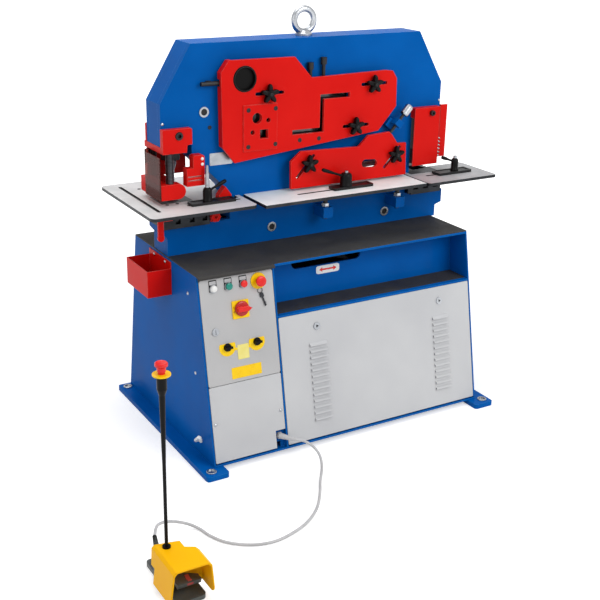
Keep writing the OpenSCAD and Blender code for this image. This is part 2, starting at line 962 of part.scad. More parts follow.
module fixed_tools() {
    color("silver") {
        // Punching die
        translate([punch_x, mid_y, table_z - 36])
            rotate_extrude()
                polygon([[(punch_d + die_play) / 2, 39], [26, 39], [30, 35], [30, 0],
                    [punch_d / 2 + 4, 0], [punch_d / 2 + 4, 24], [(punch_d + die_play) / 2, 27]]);
        // Lower flat-bar blade
        xz_plate(2, beam_y0 - play - 2)
            translate([shear_win[0], shear_win[1]])
                square([shear_win[2] - shear_win[0], table_z - shear_win[1]]);
        // Fixed section and bar blades
        xz_plate(2, beam_y0 - play - 2)
            angle_blades();
        xz_plate(2, beam_y0 - play - 2)
            difference() {
                window(bar_win);
                bar_openings();
            }
    }
}

module die_lever() {
    color("red")
        xz_plate(-34, 8)
            difference() {
                union() {
                    slot2d([-598, 872], [-640, 872], 22);
                    slot2d([-640, 872], [-640, 800], 22);
                    translate([-640, 800])
                        circle(d = 26);
                }
                translate([-598, 872])
                    circle(d = 10 + 2 * play);
            }
}

module notch_guard() {
    color("red") {
        difference() {
            union() {
                translate([474, -30, 948])
                    cube([125, 5, 235]);
                translate([474, -30, 1143])
                    cube([125, 30 - play, 40]);
                translate([593, -30, 948])
                    cube([6, 24, 235]);
            }
            translate([557, -31, 1160])
                rotate([-90, 0, 0])
                    cylinder(d = 15, h = 40);
        }
        // Wing on the frame's right end
        translate([frame_x + play, -8, 1143])
            cube([6, frame_d + 8, 42]);
        translate([frame_x + play, -8, 969])
            cube([34, 5, 216]);
    }
}

module notch_bed() {
    x0 = right_throat_x + play;
    color("dimgray")
        difference() {
            union() {
                translate([x0, -25, jaw_z])
                    cube([150, frame_d + 50, table_under - jaw_z]);
                translate([x0 - 16, -25, jaw_z + 6])
                    cube([160, 25 - play, table_under - jaw_z - 6]);
                translate([x0, -28, table_under - 1])
                    cube([128, frame_d + 40, table_t + 1]);
                translate([x0 - 8, -28, table_under - 1])
                    cube([20, 28 - play, table_t + 1]);
            }
            translate([notch_x - 34, 30, jaw_z - 1])
                cube([68, 64, table_z]);
            for (x = [490, 540, 590])
                translate([x, -30, 846])
                    cube([26, 16, 30]);
        }
}

module stop_bar(c, x0, x1, w, boss_d) {
    difference() {
        translate([x0, c[1] - w / 2, table_z + play])
            linear_extrude(10)
                rounded(x1 - x0, w, 6);
        translate([c[0], c[1], table_z - 1])
            cylinder(d = stud_d + 2 * play, h = 20);
        translate([x0 + 8, c[1] - w / 2 + 6, table_z + 8])
            cube([x1 - x0 - 16, w - 12, 5]);
        translate([c[0], c[1], table_z + 8])
            cylinder(d = boss_d + 6, h = 5);
    }
}

module left_stop() { color("black") stop_bar(left_stop_c, -534, -354, 46, 34); }
module middle_stop() { color("black") stop_bar(middle_stop_c, 45, 226, 48, 46); }
module right_stop() { color("black") stop_bar(right_stop_c, 556, 724, 56, 30); }

// Clamp lever: boss, slanted arm with a grip, and the stud with its nut under the table
module clamp_lever(c, boss_d, arm_l, a, mast = 0) {
    z0 = table_z + 8 + play;
    color("black")
        translate([c[0], c[1], 0]) {
            translate([0, 0, z0])
                rotate_extrude()
                    polygon([[0, 0], [boss_d / 2 + 2, 0], [boss_d / 2 + 2, 7], [boss_d / 2, 10],
                        [boss_d / 2, lever_boss_h - 8], [boss_d / 2 - 6, lever_boss_h],
                        [0, lever_boss_h]]);
            translate([0, 0, z0 + lever_boss_h - 16])
                rotate([0, 90 - 20, a]) {
                    cylinder(d = 9, h = arm_l);
                    translate([0, 0, arm_l * 0.55])
                        cylinder(d1 = 11, d2 = 15, h = arm_l * 0.45);
                }
            translate([0, 0, table_under - 14])
                cylinder(d = stud_d, h = z0 - table_under + 16);
            translate([0, 0, table_under - 12 - play])
                cylinder(d = 26, h = 12);
            if (mast > 0)
                translate([0, 0, z0 + lever_boss_h - 2])
                    cylinder(d = 15, h = mast);
        }
}

module left_lever() { clamp_lever(left_stop_c, 34, 88, 8, 84); }
module middle_lever() { clamp_lever(middle_stop_c, 46, 118, 180); }
module right_lever() { clamp_lever(right_stop_c, 30, 74, 180); }

module chip_box() {
    t = 3;
    x0 = -cab_x - box_out;
    color("red")
        difference() {
            union() {
                translate([x0, box_y0, box_z0])
                    cube([box_out - play, box_y1 - box_y0, box_z1 - box_z0]);
                translate([-cab_x - t - play, box_y0, box_z0])
                    cube([t, box_y1 - box_y0, box_z1 - box_z0 + 24]);
            }
            translate([x0 + t, box_y0 + t, box_z0 + t])
                cube([box_out - 2 * t - play, box_y1 - box_y0 - 2 * t, 200]);
            for (y = [15, 115])
                translate([-cab_x - 8, y, 692])
                    rotate([0, 90, 0])
                        cylinder(d = 7, h = 12);
        }
}

// Places children on the door: z points outward from its face
module on_door(p) {
    on_front()
        translate([p[0], 0, up(p[1])])
            rotate([90, 0, 0])
                children();
}

module door() {
    x0 = -cab_x + cab_t + door_gap;
    color("silver")
        difference() {
            on_front()
                tray(x0, door_right, door_z0, door_z1, 8, tray_d - 1);
            for (p = [start_c, stop_c, estop_c, left_sel_c, right_sel_c, lamp_c])
                on_door(p)
                    translate([0, 0, -10])
                        cylinder(d = button_d + 2 * play, h = 20);
            on_door(switch_c)
                translate([0, 0, -10])
                    cylinder(d = 12 + 2 * play, h = 20);
            on_door(lock_c)
                translate([0, 0, -10])
                    cylinder(d = 22 + 2 * play, h = 20);
            // Bores of the two hinge pins
            for (z = [up(door_z0) - 2, up(door_z1) - 6])
                on_front()
                    translate([door_right - hinge_in, hinge_in, z])
                        cylinder(d = hinge_pin_d + 2 * play, h = 8);
        }
}

module door_fittings() {
    color("gold") {
        on_door(lamp_c) {
            cylinder(d = 30, h = 5);
            translate([0, 0, -16])
                cylinder(d = button_d, h = 17);
            translate([0, 0, 4])
                cylinder(d = 23, h = 9);
        }
        for (p = [start_c, stop_c])
            on_door(p)
                ring(30, button_d + 2 * play, 5);
        on_door(estop_c)
            ring(60, button_d + 2 * play, 4);
        on_door(switch_c)
            difference() {
                translate([-33, -33, 0])
                    linear_extrude(5)
                        rounded(66, 66, 3);
                translate([0, 0, -1])
                    cylinder(d = 12 + 2 * play, h = 8);
            }
        for (p = [left_sel_c, right_sel_c])
            on_door(p)
                difference() {
                    union() {
                        cylinder(d = 30, h = 4);
                        cylinder(r = 33, h = 1);
                    }
                    translate([0, 0, -1])
                        cylinder(d = button_d + 2 * play, h = 8);
                    translate([-40, 14, -1])
                        cube([80, 40, 3]);
                }
    }
}

module push_button(p) {
    on_door(p) {
        translate([0, 0, -20])
            cylinder(d = button_d, h = 26);
        translate([0, 0, 5 + push_travel + play])
            cylinder(d = 25, h = 3);
        translate([0, 0, 6])
            cylinder(d = 20, h = 9);
    }
}

module start_button() { color("green") push_button(start_c); }
module stop_button() { color("red") push_button(stop_c); }

// Mushroom cap on a stem, seen along its axis
module mushroom(d, h) {
    rotate_extrude()
        polygon([[0, 0], [d * 0.3, 0], [d * 0.3, h * 0.35], [d * 0.46, h * 0.5], [d / 2, h * 0.7],
            [d * 0.48, h * 0.9], [d * 0.3, h], [0, h]]);
}

module estop_button() {
    color("red")
        on_door(estop_c) {
            translate([0, 0, -20])
                cylinder(d = button_d, h = 32);
            translate([0, 0, 10])
                mushroom(40, 22);
        }
}

module main_switch() {
    color("red")
        on_door(switch_c) {
            translate([0, 0, -40])
                cylinder(d = 12, h = 50);
            translate([0, 0, 5 + play])
                cylinder(d = 56, h = 8);
            translate([-28, -8, 13])
                cube([62, 16, 18]);
        }
}

module selector(p) {
    on_door(p) {
        translate([0, 0, -20])
            cylinder(d = button_d, h = 26);
        translate([0, 0, 4 + play])
            cylinder(d = 26, h = 6);
        translate([-14, -4, 10])
            cube([28, 8, 10]);
    }
}

module left_selector() { color("black") selector(left_sel_c); }
module right_selector() { color("black") selector(right_sel_c); }

module door_lock() {
    color("silver")
        on_door(lock_c)
            difference() {
                union() {
                    translate([0, 0, play])
                        cylinder(d = 28, h = 3);
                    translate([0, 0, -24])
                        cylinder(d = 22, h = 25);
                    translate([-8, -8, -28])
                        cube([16, 24, 5]);
                }
                translate([-1.5, -9, 1])
                    cube([3, 18, 5]);
            }
}

module control_gear() {
    x0 = -cab_x + cab_t + play;
    x1 = bay_x - cab_t / 2 - play;
    color("dimgray")
        on_front()
            translate([0, 150, 0]) {
                translate([x0, 0, up(320)])
                    cube([x1 - x0, 3, up(350)]);
                for (z = [370, 480, 590])
                    translate([x0 + 20, -8, up(z)])
                        cube([x1 - x0 - 40, 8, 35]);
                // Contactors, breakers and the transformer
                for (i = [0:4])
                    translate([x0 + 30 + i * 48, -78, up(590) - 20])
                        cube([44, 70, 76]);
                for (i = [0:6])
                    translate([x0 + 30 + i * 26, -66, up(480) - 22])
                        cube([24, 58, 80]);
                translate([x0 + 40, -86, up(370) - 34])
                    cube([110, 78, 96]);
                translate([x0 + 170, -60, up(370) - 20])
                    cube([80, 52, 70]);
            }
}

module beam() {
    s = stroke;
    blade_pocket = 20 + play;
    color("slategray") {
        difference() {
            union() {
                xz_plate(beam_y0, beam_t)
                    polygon([[-598, 1175], [-480, 1175], [-330, 1010], [-330, beam_z0],
                        [462, beam_z0], [462, 1192], [598, 1192], [598, 1262], [488, 1438],
                        [-488, 1438], [-598, 1262]]);
                translate([cyl_x, mid_y, piston_z])
                    cylinder(d = rod_d, h = beam_z0 - piston_z + 2);
                translate([cyl_x, mid_y, piston_z])
                    cylinder(d = bore_d - 2 * play, h = 40);
            }
            // Way of the flat bar, and the pocket of its upper blade
            xz_plate(beam_y0 - 1, beam_t + 2)
                translate([shear_win[0] - 6, 852])
                    square([shear_win[2] - shear_win[0] + 12, 98]);
            xz_plate(beam_y0 - 1, blade_pocket + 1)
                translate([shear_win[0] - play, 940])
                    square([shear_win[2] - shear_win[0] + 2 * play, 52]);
            // Pockets and openings of the section and bar blades
            xz_plate(beam_y0 - 1, blade_pocket + 1) {
                window(angle_win, play);
                window(bar_win, play);
            }
            xz_plate(beam_y0, beam_t + 1) {
                window(angle_win, -9);
                window(bar_win, -9);
            }
        }
        // Ram of the punch station and its coupling nut
        translate([punch_x, mid_y, 1066])
            cylinder(d = ram_d, h = 110);
        translate([punch_x, mid_y, 1066])
            cylinder(d = 76, h = 32, $fn = 6);
    }
}

module moving_tools() {
    blade_t = 20;
    color("silver") {
        // Punch
        translate([punch_x, mid_y, 938])
            rotate_extrude()
                polygon([[0, 0], [punch_d / 2, 0], [punch_d / 2, 88], [20, 108], [20, 128],
                    [0, 128]]);
        // Upper flat-bar blade, raked along its edge
        xz_plate(beam_y0, blade_t)
            polygon([[shear_win[0], 945], [shear_win[2], 957], [shear_win[2], 991.7],
                [shear_win[0], 991.7]]);
        xz_plate(beam_y0, blade_t)
            angle_blades();
        xz_plate(beam_y0, blade_t)
            difference() {
                window(bar_win);
                bar_openings();
            }
        // Notching ram and punch
        translate([notch_x - 30, 34, 1000])
            cube([60, 56, 192]);
        translate([notch_x, 34, 936])
            linear_extrude(64)
                polygon([[-30, 56], [-30, 24], [0, 4], [30, 24], [30, 56]]);
    }
}

module cylinder_body() {
    color("dimgray")
        translate([cyl_x, mid_y, 0])
            difference() {
                union() {
                    translate([0, 0, piston_z - 100])
                        cylinder(d = bore_d + 30, h = deck_under - piston_z + 90);
                    translate([-110, -90, deck_under - 24])
                        cube([220, 180, 24]);
                    // Ports of the two hoses
                    translate([0, 0, piston_z - 80])
                        rotate([-90, 0, 0])
                            cylinder(d = 26, h = 76);
                    translate([0, 0, deck_under - 64])
                        rotate([0, -90, 0])
                            cylinder(d = 26, h = 76);
                }
                translate([0, 0, piston_z - 70])
                    cylinder(d = bore_d, h = deck_under - 38 - piston_z + 70);
                translate([0, 0, deck_under - 60])
                    cylinder(d = rod_d + 2 * play, h = 80);
            }
}

module hydraulic_unit() {
    z0 = rail_t + cab_t;
    color("dimgray") {
        // Oil tank with its filler
        translate([240, -150, z0])
            cube([320, 380, 260]);
        translate([520, 180, z0 + 260])
            cylinder(d = 50, h = 30);
        // Motor, bell housing and pump lying on the tank
        translate([330, -60, z0 + 260])
            cube([150, 200, 20]);
        translate([405, -90, z0 + 280 + 75])
            rotate([-90, 0, 0]) {
                cylinder(d = 150, h = 220);
                translate([0, 0, 220])
                    cylinder(d = 110, h = 50);
                translate([0, 0, 270])
                    cylinder(d = 70, h = 60);
            }
        // Valve block and the two hoses to the cylinder
        translate([250, 150, z0 + 260])
            cube([70, 70, 90]);
        hose([[252, 185, 340], [215, 188, 352], [165, 190, 400], [112, 178, 438],
            [cyl_x, mid_y + 92, piston_z - 80], [cyl_x, mid_y + 78, piston_z - 80]]);
        hose([[252, 185, 362], [180, 60, 470], [150, -60, 590], [80, -100, 648], [-60, -96, 660],
            [-180, -40, 652], [-150, 40, 644], [-70, mid_y, deck_under - 64],
            [cyl_x - 92, mid_y, deck_under - 64], [cyl_x - 78, mid_y, deck_under - 64]]);
    }
}

module hose(pts) {
    sweep(smooth(pts, 3), 11, 8);
}

function unit(v) = v / norm(v);

// Points along a smooth curve through pts, n steps between each two
function smooth(pts, n) = [
    for (i = [0:len(pts) - 2], k = [0:n - 1])
        let (p0 = pts[max(i - 1, 0)], p1 = pts[i], p2 = pts[i + 1],
            p3 = pts[min(i + 2, len(pts) - 1)], t = k / n)
        0.5 * ((2 * p1) + (p2 - p0) * t + (2 * p0 - 5 * p1 + 4 * p2 - p3) * t * t
            + (3 * p1 - p0 - 3 * p2 + p3) * t * t * t),
    pts[len(pts) - 1]
];

function tangent(p, i) = unit(p[min(i + 1, len(p) - 1)] - p[max(i - 1, 0)]);

// Round tube along the points p, as one closed mesh
module sweep(p, r, sides) {
    n = len(p);
    rings = [
        for (i = [0:n - 1])
            let (t = tangent(p, i), a = unit(cross(t, [0.013, 0.017, 1])), b = cross(t, a))
            for (k = [0:sides - 1])
                p[i] + r * (cos(k * 360 / sides) * a + sin(k * 360 / sides) * b)
    ];
    quads = [
        for (i = [0:n - 2], k = [0:sides - 1])
            let (j = (k + 1) % sides)
            [i * sides + k, (i + 1) * sides + k, (i + 1) * sides + j, i * sides + j]
    ];
    polyhedron(rings, concat([[for (k = [0:sides - 1]) k]], quads,
        [[for (k = [sides - 1:-1:0]) (n - 1) * sides + k]]), convexity = 6);
}

// Turns the z axis into direction v at point p
module along(p, v) {
    translate(p)
        rotate([0, acos(v.z / norm(v)), atan2(v.y, v.x)])
            children();
}

module pedal_base() {
    color("dimgray")
        translate([-pedal_x, -pedal_y, 0]) {
            translate([55 - base_w, 118 - base_len, 0])
                linear_extrude(base_h)
                    rounded(base_w, base_len, 16);
            // Terminal housing under the neck of the hood
            translate([-44, 50, 0])
                cube([63 - play, 68, hood_h - 60]);
            // Uprights and pin of the treadle
            for (x = [-39, 7])
                translate([x, 22, base_h - 2])
                    cube([8, 18, treadle_z - base_h + 10]);
            translate([-40, treadle_y, treadle_z])
                rotate([0, 90, 0])
                    cylinder(d = treadle_pin_d, h = 56);
            // Foot with a fixing hole at the rear
            difference() {
                translate([-42, 112, 0])
                    linear_extrude(16)
                        rounded(60, 74, 12);
                translate([-22, 166, -1])
                    cylinder(d = 9, h = 20);
            }
        }
    // Strain relief of the cable
    color("black")
        hull() {
            translate(relief_end)
                sphere(d = 22, $fn = 24);
            along(cable_end, -tangent(cable_path, len(cable_path) - 1))
                translate([0, 0, -1])
                    cylinder(d = cable_d + 4, h = 1, $fn = 24);
        }
}

// Form of the hood, w inside its outer faces: a wide part and a narrower neck
module hood_form(w) {
    h = hood_h - w;
    z0 = base_h - w;
    intersection() {
        union() {
            xz_plate(-80 - w, 130)
                polygon([[w - 75, z0], [w - 62, h - 9], [w - 53, h], [52 - w, h], [62 - w, h - 9],
                    [71 - w, 44], [71 - w, z0]]);
            xz_plate(20, 70)
                polygon([[w - 66, z0], [w - 61, h - 9], [w - 53, h], [30, h], [30, z0]]);
        }
        translate([0, 0, -10])
            linear_extrude(hood_h + 20)
                polygon([[-80, 89 - w], [23 - w, 66.6 - 0.8 * w], [23 - w, 31.1 - 0.6 * w],
                    [80, -0.9 - 1.15 * w], [80, -90], [-80, -90]]);
    }
}

module pedal_hood() {
    color("gold")
        translate([-pedal_x, -pedal_y, 0])
            difference() {
                hood_form(0);
                hood_form(4);
                // Front edges of the two side walls, rounded at the bottom
                yz_wall(-100, 200)
                    polygon([[-81, 0], [-60, 0], [-60, 27], [-70, 30], [-75, 36], [-77, 46],
                        [-81, 132]]);
                // Lower edges of the side walls and the neck
                for (x = [-100, 55])
                    translate([x, -90, 0])
                        cube([45, 150, 26]);
                translate([-100, 56, 0])
                    cube([200, 60, 70]);
                translate([-58, 49, 0])
                    cube([77, 60, hood_h - 60 + play]);
                translate([post_c[0] + pedal_x, post_c[1] + pedal_y, hood_h - 10])
                    cylinder(d = 10, h = 20);
            }
}

module pedal() {
    color("black")
        translate([-pedal_x, -pedal_y + treadle_y, treadle_z])
            rotate([18, 0, 0])
                difference() {
                    union() {
                        rotate([0, -90, 0])
                            translate([0, 0, -6])
                                cylinder(d = 22, h = 36);
                        translate([-28, -20, -3])
                            cube([34, 20, 12]);
                        translate([0, 0, -3])
                            linear_extrude(12)
                                polygon([[-28, -16], [8, -16], [50, -35], [50, -59], [-28, -59]]);
                        translate([-28, -59, 8])
                            cube([78, 10, 6]);
                    }
                    rotate([0, -90, 0])
                        translate([0, 0, -50])
                            cylinder(d = treadle_pin_d + 2 * play, h = 100);
                }
}

module estop_post() {
    rod_l = post_top - 100 - hood_h;
    color("dimgray")
        translate([post_c[0], post_c[1], 0]) {
            translate([0, 0, hood_h - 9])
                cylinder(d = 9, h = 12);
            translate([0, 0, hood_h])
                cylinder(d = 26, h = 5);
            translate([0, 0, hood_h])
                cylinder(d = 11, h = rod_l * 0.55);
            translate([0, 0, hood_h + rod_l * 0.55])
                cylinder(d1 = 11, d2 = 19, h = rod_l * 0.45);
            difference() {
                union() {
                    translate([0, 0, post_top - 104])
                        cylinder(d1 = 18, d2 = 30, h = 20);
                    translate([0, 0, post_top - 84])
                        cylinder(d = 30, h = 44);
                    translate([0, 0, post_top - 40])
                        cylinder(d = 54, h = 4);
                }
                translate([0, 0, post_top - 64])
                    cylinder(d = 20 + 2 * play, h = 40);
            }
        }
}

module post_button() {
    color("red")
        translate([post_c[0], post_c[1], post_top]) {
            translate([0, 0, -55])
                cylinder(d = 20, h = 36);
            translate([0, 0, -28])
                rotate_extrude()
                    polygon([[0, 0], [13, 0], [13, 12], [19, 17], [19, 24], [16, 27], [12, 26],
                        [0, 25]]);
        }
}

module pedal_cable() {
    color("lightgray")
        sweep(cable_path, cable_d / 2, 10);
}

module cable_gland() {
    color("silver") {
        on_front()
            translate([gland_x, tray_d + play, up(gland_z)])
                rotate([90, 0, 0]) {
                    cylinder(d = 28, h = 9, $fn = 6);
                    translate([0, 0, -18])
                        cylinder(d = gland_d, h = 20);
                }
        hull() {
            on_front()
                translate([gland_x, tray_d + play - 8, up(gland_z)])
                    rotate([90, 0, 0])
                        cylinder(d = 22, h = 8, $fn = 24);
            along(cable_pts[0], tangent(cable_path, 0))
                translate([0, 0, -1])
                    cylinder(d = cable_d + 4, h = 1, $fn = 24);
        }
    }
}

foot_rails();
cabinet();
rubber_mats();
lower_panel();
front_cover();
cover_locks();
front_plate();
back_plate();
frame_rim();
lifting_eye();
left_table();
middle_table();
right_table();
section_guard();
shear_guard();
knob_1();
knob_2();
knob_3();
knob_4();
knob_5();
frame_screws();
hold_down_spindle();
punch_yoke();
stripper_posts();
stripper();
punch_guard();
throat_brackets();
die_bolster();
fixed_tools();
die_lever();
notch_guard();
notch_bed();
left_stop();
middle_stop();
right_stop();
left_lever();
middle_lever();
right_lever();
chip_box();
door();
door_fittings();
start_button();
stop_button();
estop_button();
main_switch();
left_selector();
right_selector();
door_lock();
control_gear();
beam();
moving_tools();
cylinder_body();
hydraulic_unit();
pedal_base();
pedal_hood();
pedal();
estop_post();
post_button();
pedal_cable();
cable_gland();
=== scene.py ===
# Hydraulic ironworker: camera, light, finishes and the small parts that dress the machine.
import json
import math

import bmesh
import bpy
from mathutils import Matrix, Vector
from mathutils.bvhtree import BVHTree


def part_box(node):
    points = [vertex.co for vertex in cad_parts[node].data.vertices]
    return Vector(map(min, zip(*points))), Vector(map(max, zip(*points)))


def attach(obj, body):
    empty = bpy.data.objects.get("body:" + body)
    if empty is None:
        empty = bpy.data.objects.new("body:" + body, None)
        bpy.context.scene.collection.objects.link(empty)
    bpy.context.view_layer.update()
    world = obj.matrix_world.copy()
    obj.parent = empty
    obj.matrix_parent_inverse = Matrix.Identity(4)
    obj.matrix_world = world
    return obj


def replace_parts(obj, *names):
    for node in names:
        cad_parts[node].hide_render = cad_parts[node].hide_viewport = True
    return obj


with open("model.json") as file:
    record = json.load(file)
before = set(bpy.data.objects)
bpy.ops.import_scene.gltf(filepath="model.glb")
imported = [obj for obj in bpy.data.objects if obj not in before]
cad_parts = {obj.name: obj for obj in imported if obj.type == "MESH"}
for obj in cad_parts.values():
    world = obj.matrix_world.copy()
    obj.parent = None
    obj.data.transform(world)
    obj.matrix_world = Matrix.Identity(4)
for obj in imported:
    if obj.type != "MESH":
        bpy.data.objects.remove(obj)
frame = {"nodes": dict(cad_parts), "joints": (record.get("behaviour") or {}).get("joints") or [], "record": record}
nodes = frame["nodes"]
joints = {j["name"]: j for j in frame["joints"]}
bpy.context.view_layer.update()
print("frame loaded:", len(nodes), "parts")

mm = 0.001

# Camera at standing height, in front of the left corner of the machine
cameraSet = {
    "position": (-2.062, -3.390, 1.955),
    "headingDeg": -30.4,
    "pitchDeg": -20.7,
    "rollDeg": 1.03,
    "lensMm": 62.72,
    "shift": (0.0158, -0.0077),
}
cameraData = bpy.data.cameras.new("camera")
camera = bpy.data.objects.new("camera", cameraData)
bpy.context.scene.collection.objects.link(camera)
cameraData.sensor_width = 36
cameraData.lens = cameraSet["lensMm"]
cameraData.shift_x, cameraData.shift_y = cameraSet["shift"]
cameraData.clip_start, cameraData.clip_end = 0.05, 60
camera.matrix_world = (
    Matrix.Translation(cameraSet["position"])
    @ Matrix.Rotation(math.radians(cameraSet["headingDeg"]), 4, "Z")
    @ Matrix.Rotation(math.radians(90 + cameraSet["pitchDeg"]), 4, "X")
    @ Matrix.Rotation(math.radians(cameraSet["rollDeg"]), 4, "Z")
)
bpy.context.scene.camera = camera
bpy.context.scene.view_settings.view_transform = "Standard"


# sRGB hex code to the linear colour that a shader takes
def linear(code, alpha=1.0):
    parts = [int(code[i : i + 2], 16) / 255 for i in (1, 3, 5)]
    return [c / 12.92 if c <= 0.04045 else ((c + 0.055) / 1.055) ** 2.4 for c in parts] + [alpha]


# One node with its properties, values and links: a socket in inputs is a link
def addNode(tree, kind, inputs=None, **properties):
    node = tree.nodes.new(kind)
    for name, value in properties.items():
        setattr(node, name, value)
    for socket, value in (inputs or {}).items():
        if isinstance(value, bpy.types.NodeSocket):
            tree.links.new(value, node.inputs[socket])
        else:
            node.inputs[socket].default_value = value
    return node


def startMaterial(name):
    material = bpy.data.materials.new(name)
    material.use_nodes = True
    tree = material.node_tree
    tree.nodes.clear()
    shader = addNode(tree, "ShaderNodeBsdfPrincipled")
    addNode(tree, "ShaderNodeOutputMaterial", {"Surface": shader.outputs["BSDF"]})
    place = addNode(tree, "ShaderNodeTexCoord").outputs["Object"]
    return material, tree, shader, place


# Noise between two colours, with a low and a high point of the noise
def mottle(tree, place, scale, codes, low=0.35, high=0.65, detail=3.0):
    noise = addNode(tree, "ShaderNodeTexNoise", {"Vector": place, "Scale": scale, "Detail": detail})
    ramp = addNode(tree, "ShaderNodeValToRGB", {"Fac": noise.outputs["Fac"]})
    ramp.color_ramp.elements[0].position = low
    ramp.color_ramp.elements[1].position = high
    ramp.color_ramp.elements[0].color = linear(codes[0])
    ramp.color_ramp.elements[1].color = linear(codes[1])
    return ramp.outputs["Color"], noise.outputs["Fac"]


# Rounded edges for the light, and a mask of those edges for a painted pale highlight, thinned in patches by noise
def roundEdges(tree, place, radiusMm):
    rounded = addNode(tree, "ShaderNodeBevel", {"Radius": radiusMm * mm}, samples=5)
    flat = addNode(tree, "ShaderNodeNewGeometry")
    pair = {0: rounded.outputs["Normal"], 1: flat.outputs["True Normal"]}
    along = addNode(tree, "ShaderNodeVectorMath", pair, operation="DOT_PRODUCT")
    edge = addNode(
        tree,
        "ShaderNodeMapRange",
        {"Value": along.outputs["Value"], "From Min": 0.995, "From Max": 0.9, "To Min": 0.0, "To Max": 1.0},
    )
    chips = addNode(tree, "ShaderNodeTexNoise", {"Vector": place, "Scale": 45.0, "Detail": 4.0})
    thinned = addNode(
        tree,
        "ShaderNodeMapRange",
        {"Value": chips.outputs["Fac"], "From Min": 0.3, "From Max": 0.7, "To Min": 0.25, "To Max": 1.0},
    )
    worn = addNode(
        tree, "ShaderNodeMath", {0: edge.outputs["Result"], 1: thinned.outputs["Result"]}, operation="MULTIPLY"
    )
    return rounded.outputs["Normal"], worn.outputs[0]


# Fine relief from a pattern, on a surface whose edges are rounded for the light
def relief(tree, height, strength, depthMm, radiusMm=0.8):
    rounded = addNode(tree, "ShaderNodeBevel", {"Radius": radiusMm * mm}, samples=4)
    sizes = {"Strength": strength, "Distance": depthMm * mm}
    bump = addNode(tree, "ShaderNodeBump", {"Height": height, "Normal": rounded.outputs["Normal"], **sizes})
    return bump.outputs["Normal"]


# Even waves across one axis, as relief
def waves(tree, place, axis, pitchMm, strength, depthMm):
    split = addNode(tree, "ShaderNodeSeparateXYZ", {"Vector": place})
    pace = {0: split.outputs[axis], 1: 2 * math.pi / (pitchMm * mm)}
    turns = addNode(tree, "ShaderNodeMath", pace, operation="MULTIPLY")
    wave = addNode(tree, "ShaderNodeMath", {0: turns.outputs[0]}, operation="SINE")
    sizes = {"Strength": strength, "Distance": depthMm * mm}
    return addNode(tree, "ShaderNodeBump", {"Height": wave.outputs[0], **sizes}).outputs["Normal"]


# Last step of a finish: its colour and relief, and a roughness that drifts with a pattern
def dress(tree, shader, colour, drift, roughness, normal=None):
    rough = addNode(
        tree,
        "ShaderNodeMapRange",
        {"Value": drift, "From Min": 0.3, "From Max": 0.7, "To Min": roughness[0], "To Max": roughness[1]},
    )
    tree.links.new(rough.outputs["Result"], shader.inputs["Roughness"])
    if colour:
        tree.links.new(colour, shader.inputs["Base Color"])
    if normal:
        tree.links.new(normal, shader.inputs["Normal"])


# Sprayed two-pack enamel on plate: orange peel in the gloss, a pale highlight painted along the edges
def sprayedEnamel(name, codes, edgeCode, roughness=(0.3, 0.44), peelMm=2.2, radiusMm=2.0, gloss=0.06):
    material, tree, shader, place = startMaterial(name)
    colour, cloud = mottle(tree, place, 4.0, codes)
    normal, worn = roundEdges(tree, place, radiusMm)
    peel = addNode(tree, "ShaderNodeTexNoise", {"Vector": place, "Scale": 1000 / peelMm, "Detail": 1.0})
    bump = addNode(
        tree,
        "ShaderNodeBump",
        {"Height": peel.outputs["Fac"], "Strength": 0.05, "Distance": 0.2 * mm, "Normal": normal},
    )
    # pale colour mixed in along the edge mask: a painted highlight on the edges
    painted = addNode(tree, "ShaderNodeMix", {"Factor": worn, 6: colour, 7: linear(edgeCode)}, data_type="RGBA")
    dress(tree, shader, painted.outputs[2], cloud, roughness, bump.outputs["Normal"])
    shader.inputs["Specular IOR Level"].default_value = gloss
    shader.inputs["Coat Weight"].default_value = 0.03
    shader.inputs["Coat Roughness"].default_value = 0.12
    return material


# Baked powder coat on folded sheet: satin, with a pebbled skin and soft folds
def powderCoat(name, codes, roughness=(0.42, 0.55), grainMm=1.6, radiusMm=1.6, gloss=0.35):
    material, tree, shader, place = startMaterial(name)
    colour, cloud = mottle(tree, place, 3.0, codes)
    pebble = addNode(tree, "ShaderNodeTexVoronoi", {"Vector": place, "Scale": 1000 / grainMm})
    dress(tree, shader, colour, cloud, roughness, relief(tree, pebble.outputs["Distance"], 0.06, 0.15, radiusMm))
    shader.inputs["Specular IOR Level"].default_value = gloss
    return material


# Steel with its working marks drawn out along one axis; metal keeps the usual IOR
def workedSteel(name, codes, roughness=(0.3, 0.45), marksMm=1.2, bumpBy=0.12, metal=1.0):
    material, tree, shader, place = startMaterial(name)
    drawn = addNode(tree, "ShaderNodeMapping", {"Vector": place, "Scale": (1.0, 12.0, 12.0)})
    colour = mottle(tree, place, 14.0, codes)[0]
    pattern = {"Vector": drawn.outputs["Vector"], "Scale": 1000 / marksMm / 12, "Detail": 4.0}
    marks = addNode(tree, "ShaderNodeTexNoise", pattern).outputs["Fac"]
    dress(tree, shader, colour, marks, roughness, relief(tree, marks, bumpBy, 0.2))
    shader.inputs["Metallic"].default_value = metal
    return material


# Fine turned rings or threads round the upright axis of a steel post
def ringedSteel(name, codes, pitchMm, depthMm, roughness=(0.3, 0.45)):
    material, tree, shader, place = startMaterial(name)
    colour, cloud = mottle(tree, place, 20.0, codes)
    dress(tree, shader, colour, cloud, roughness, waves(tree, place, "Z", pitchMm, 0.7, depthMm))
    shader.inputs["Metallic"].default_value = 1.0
    return material


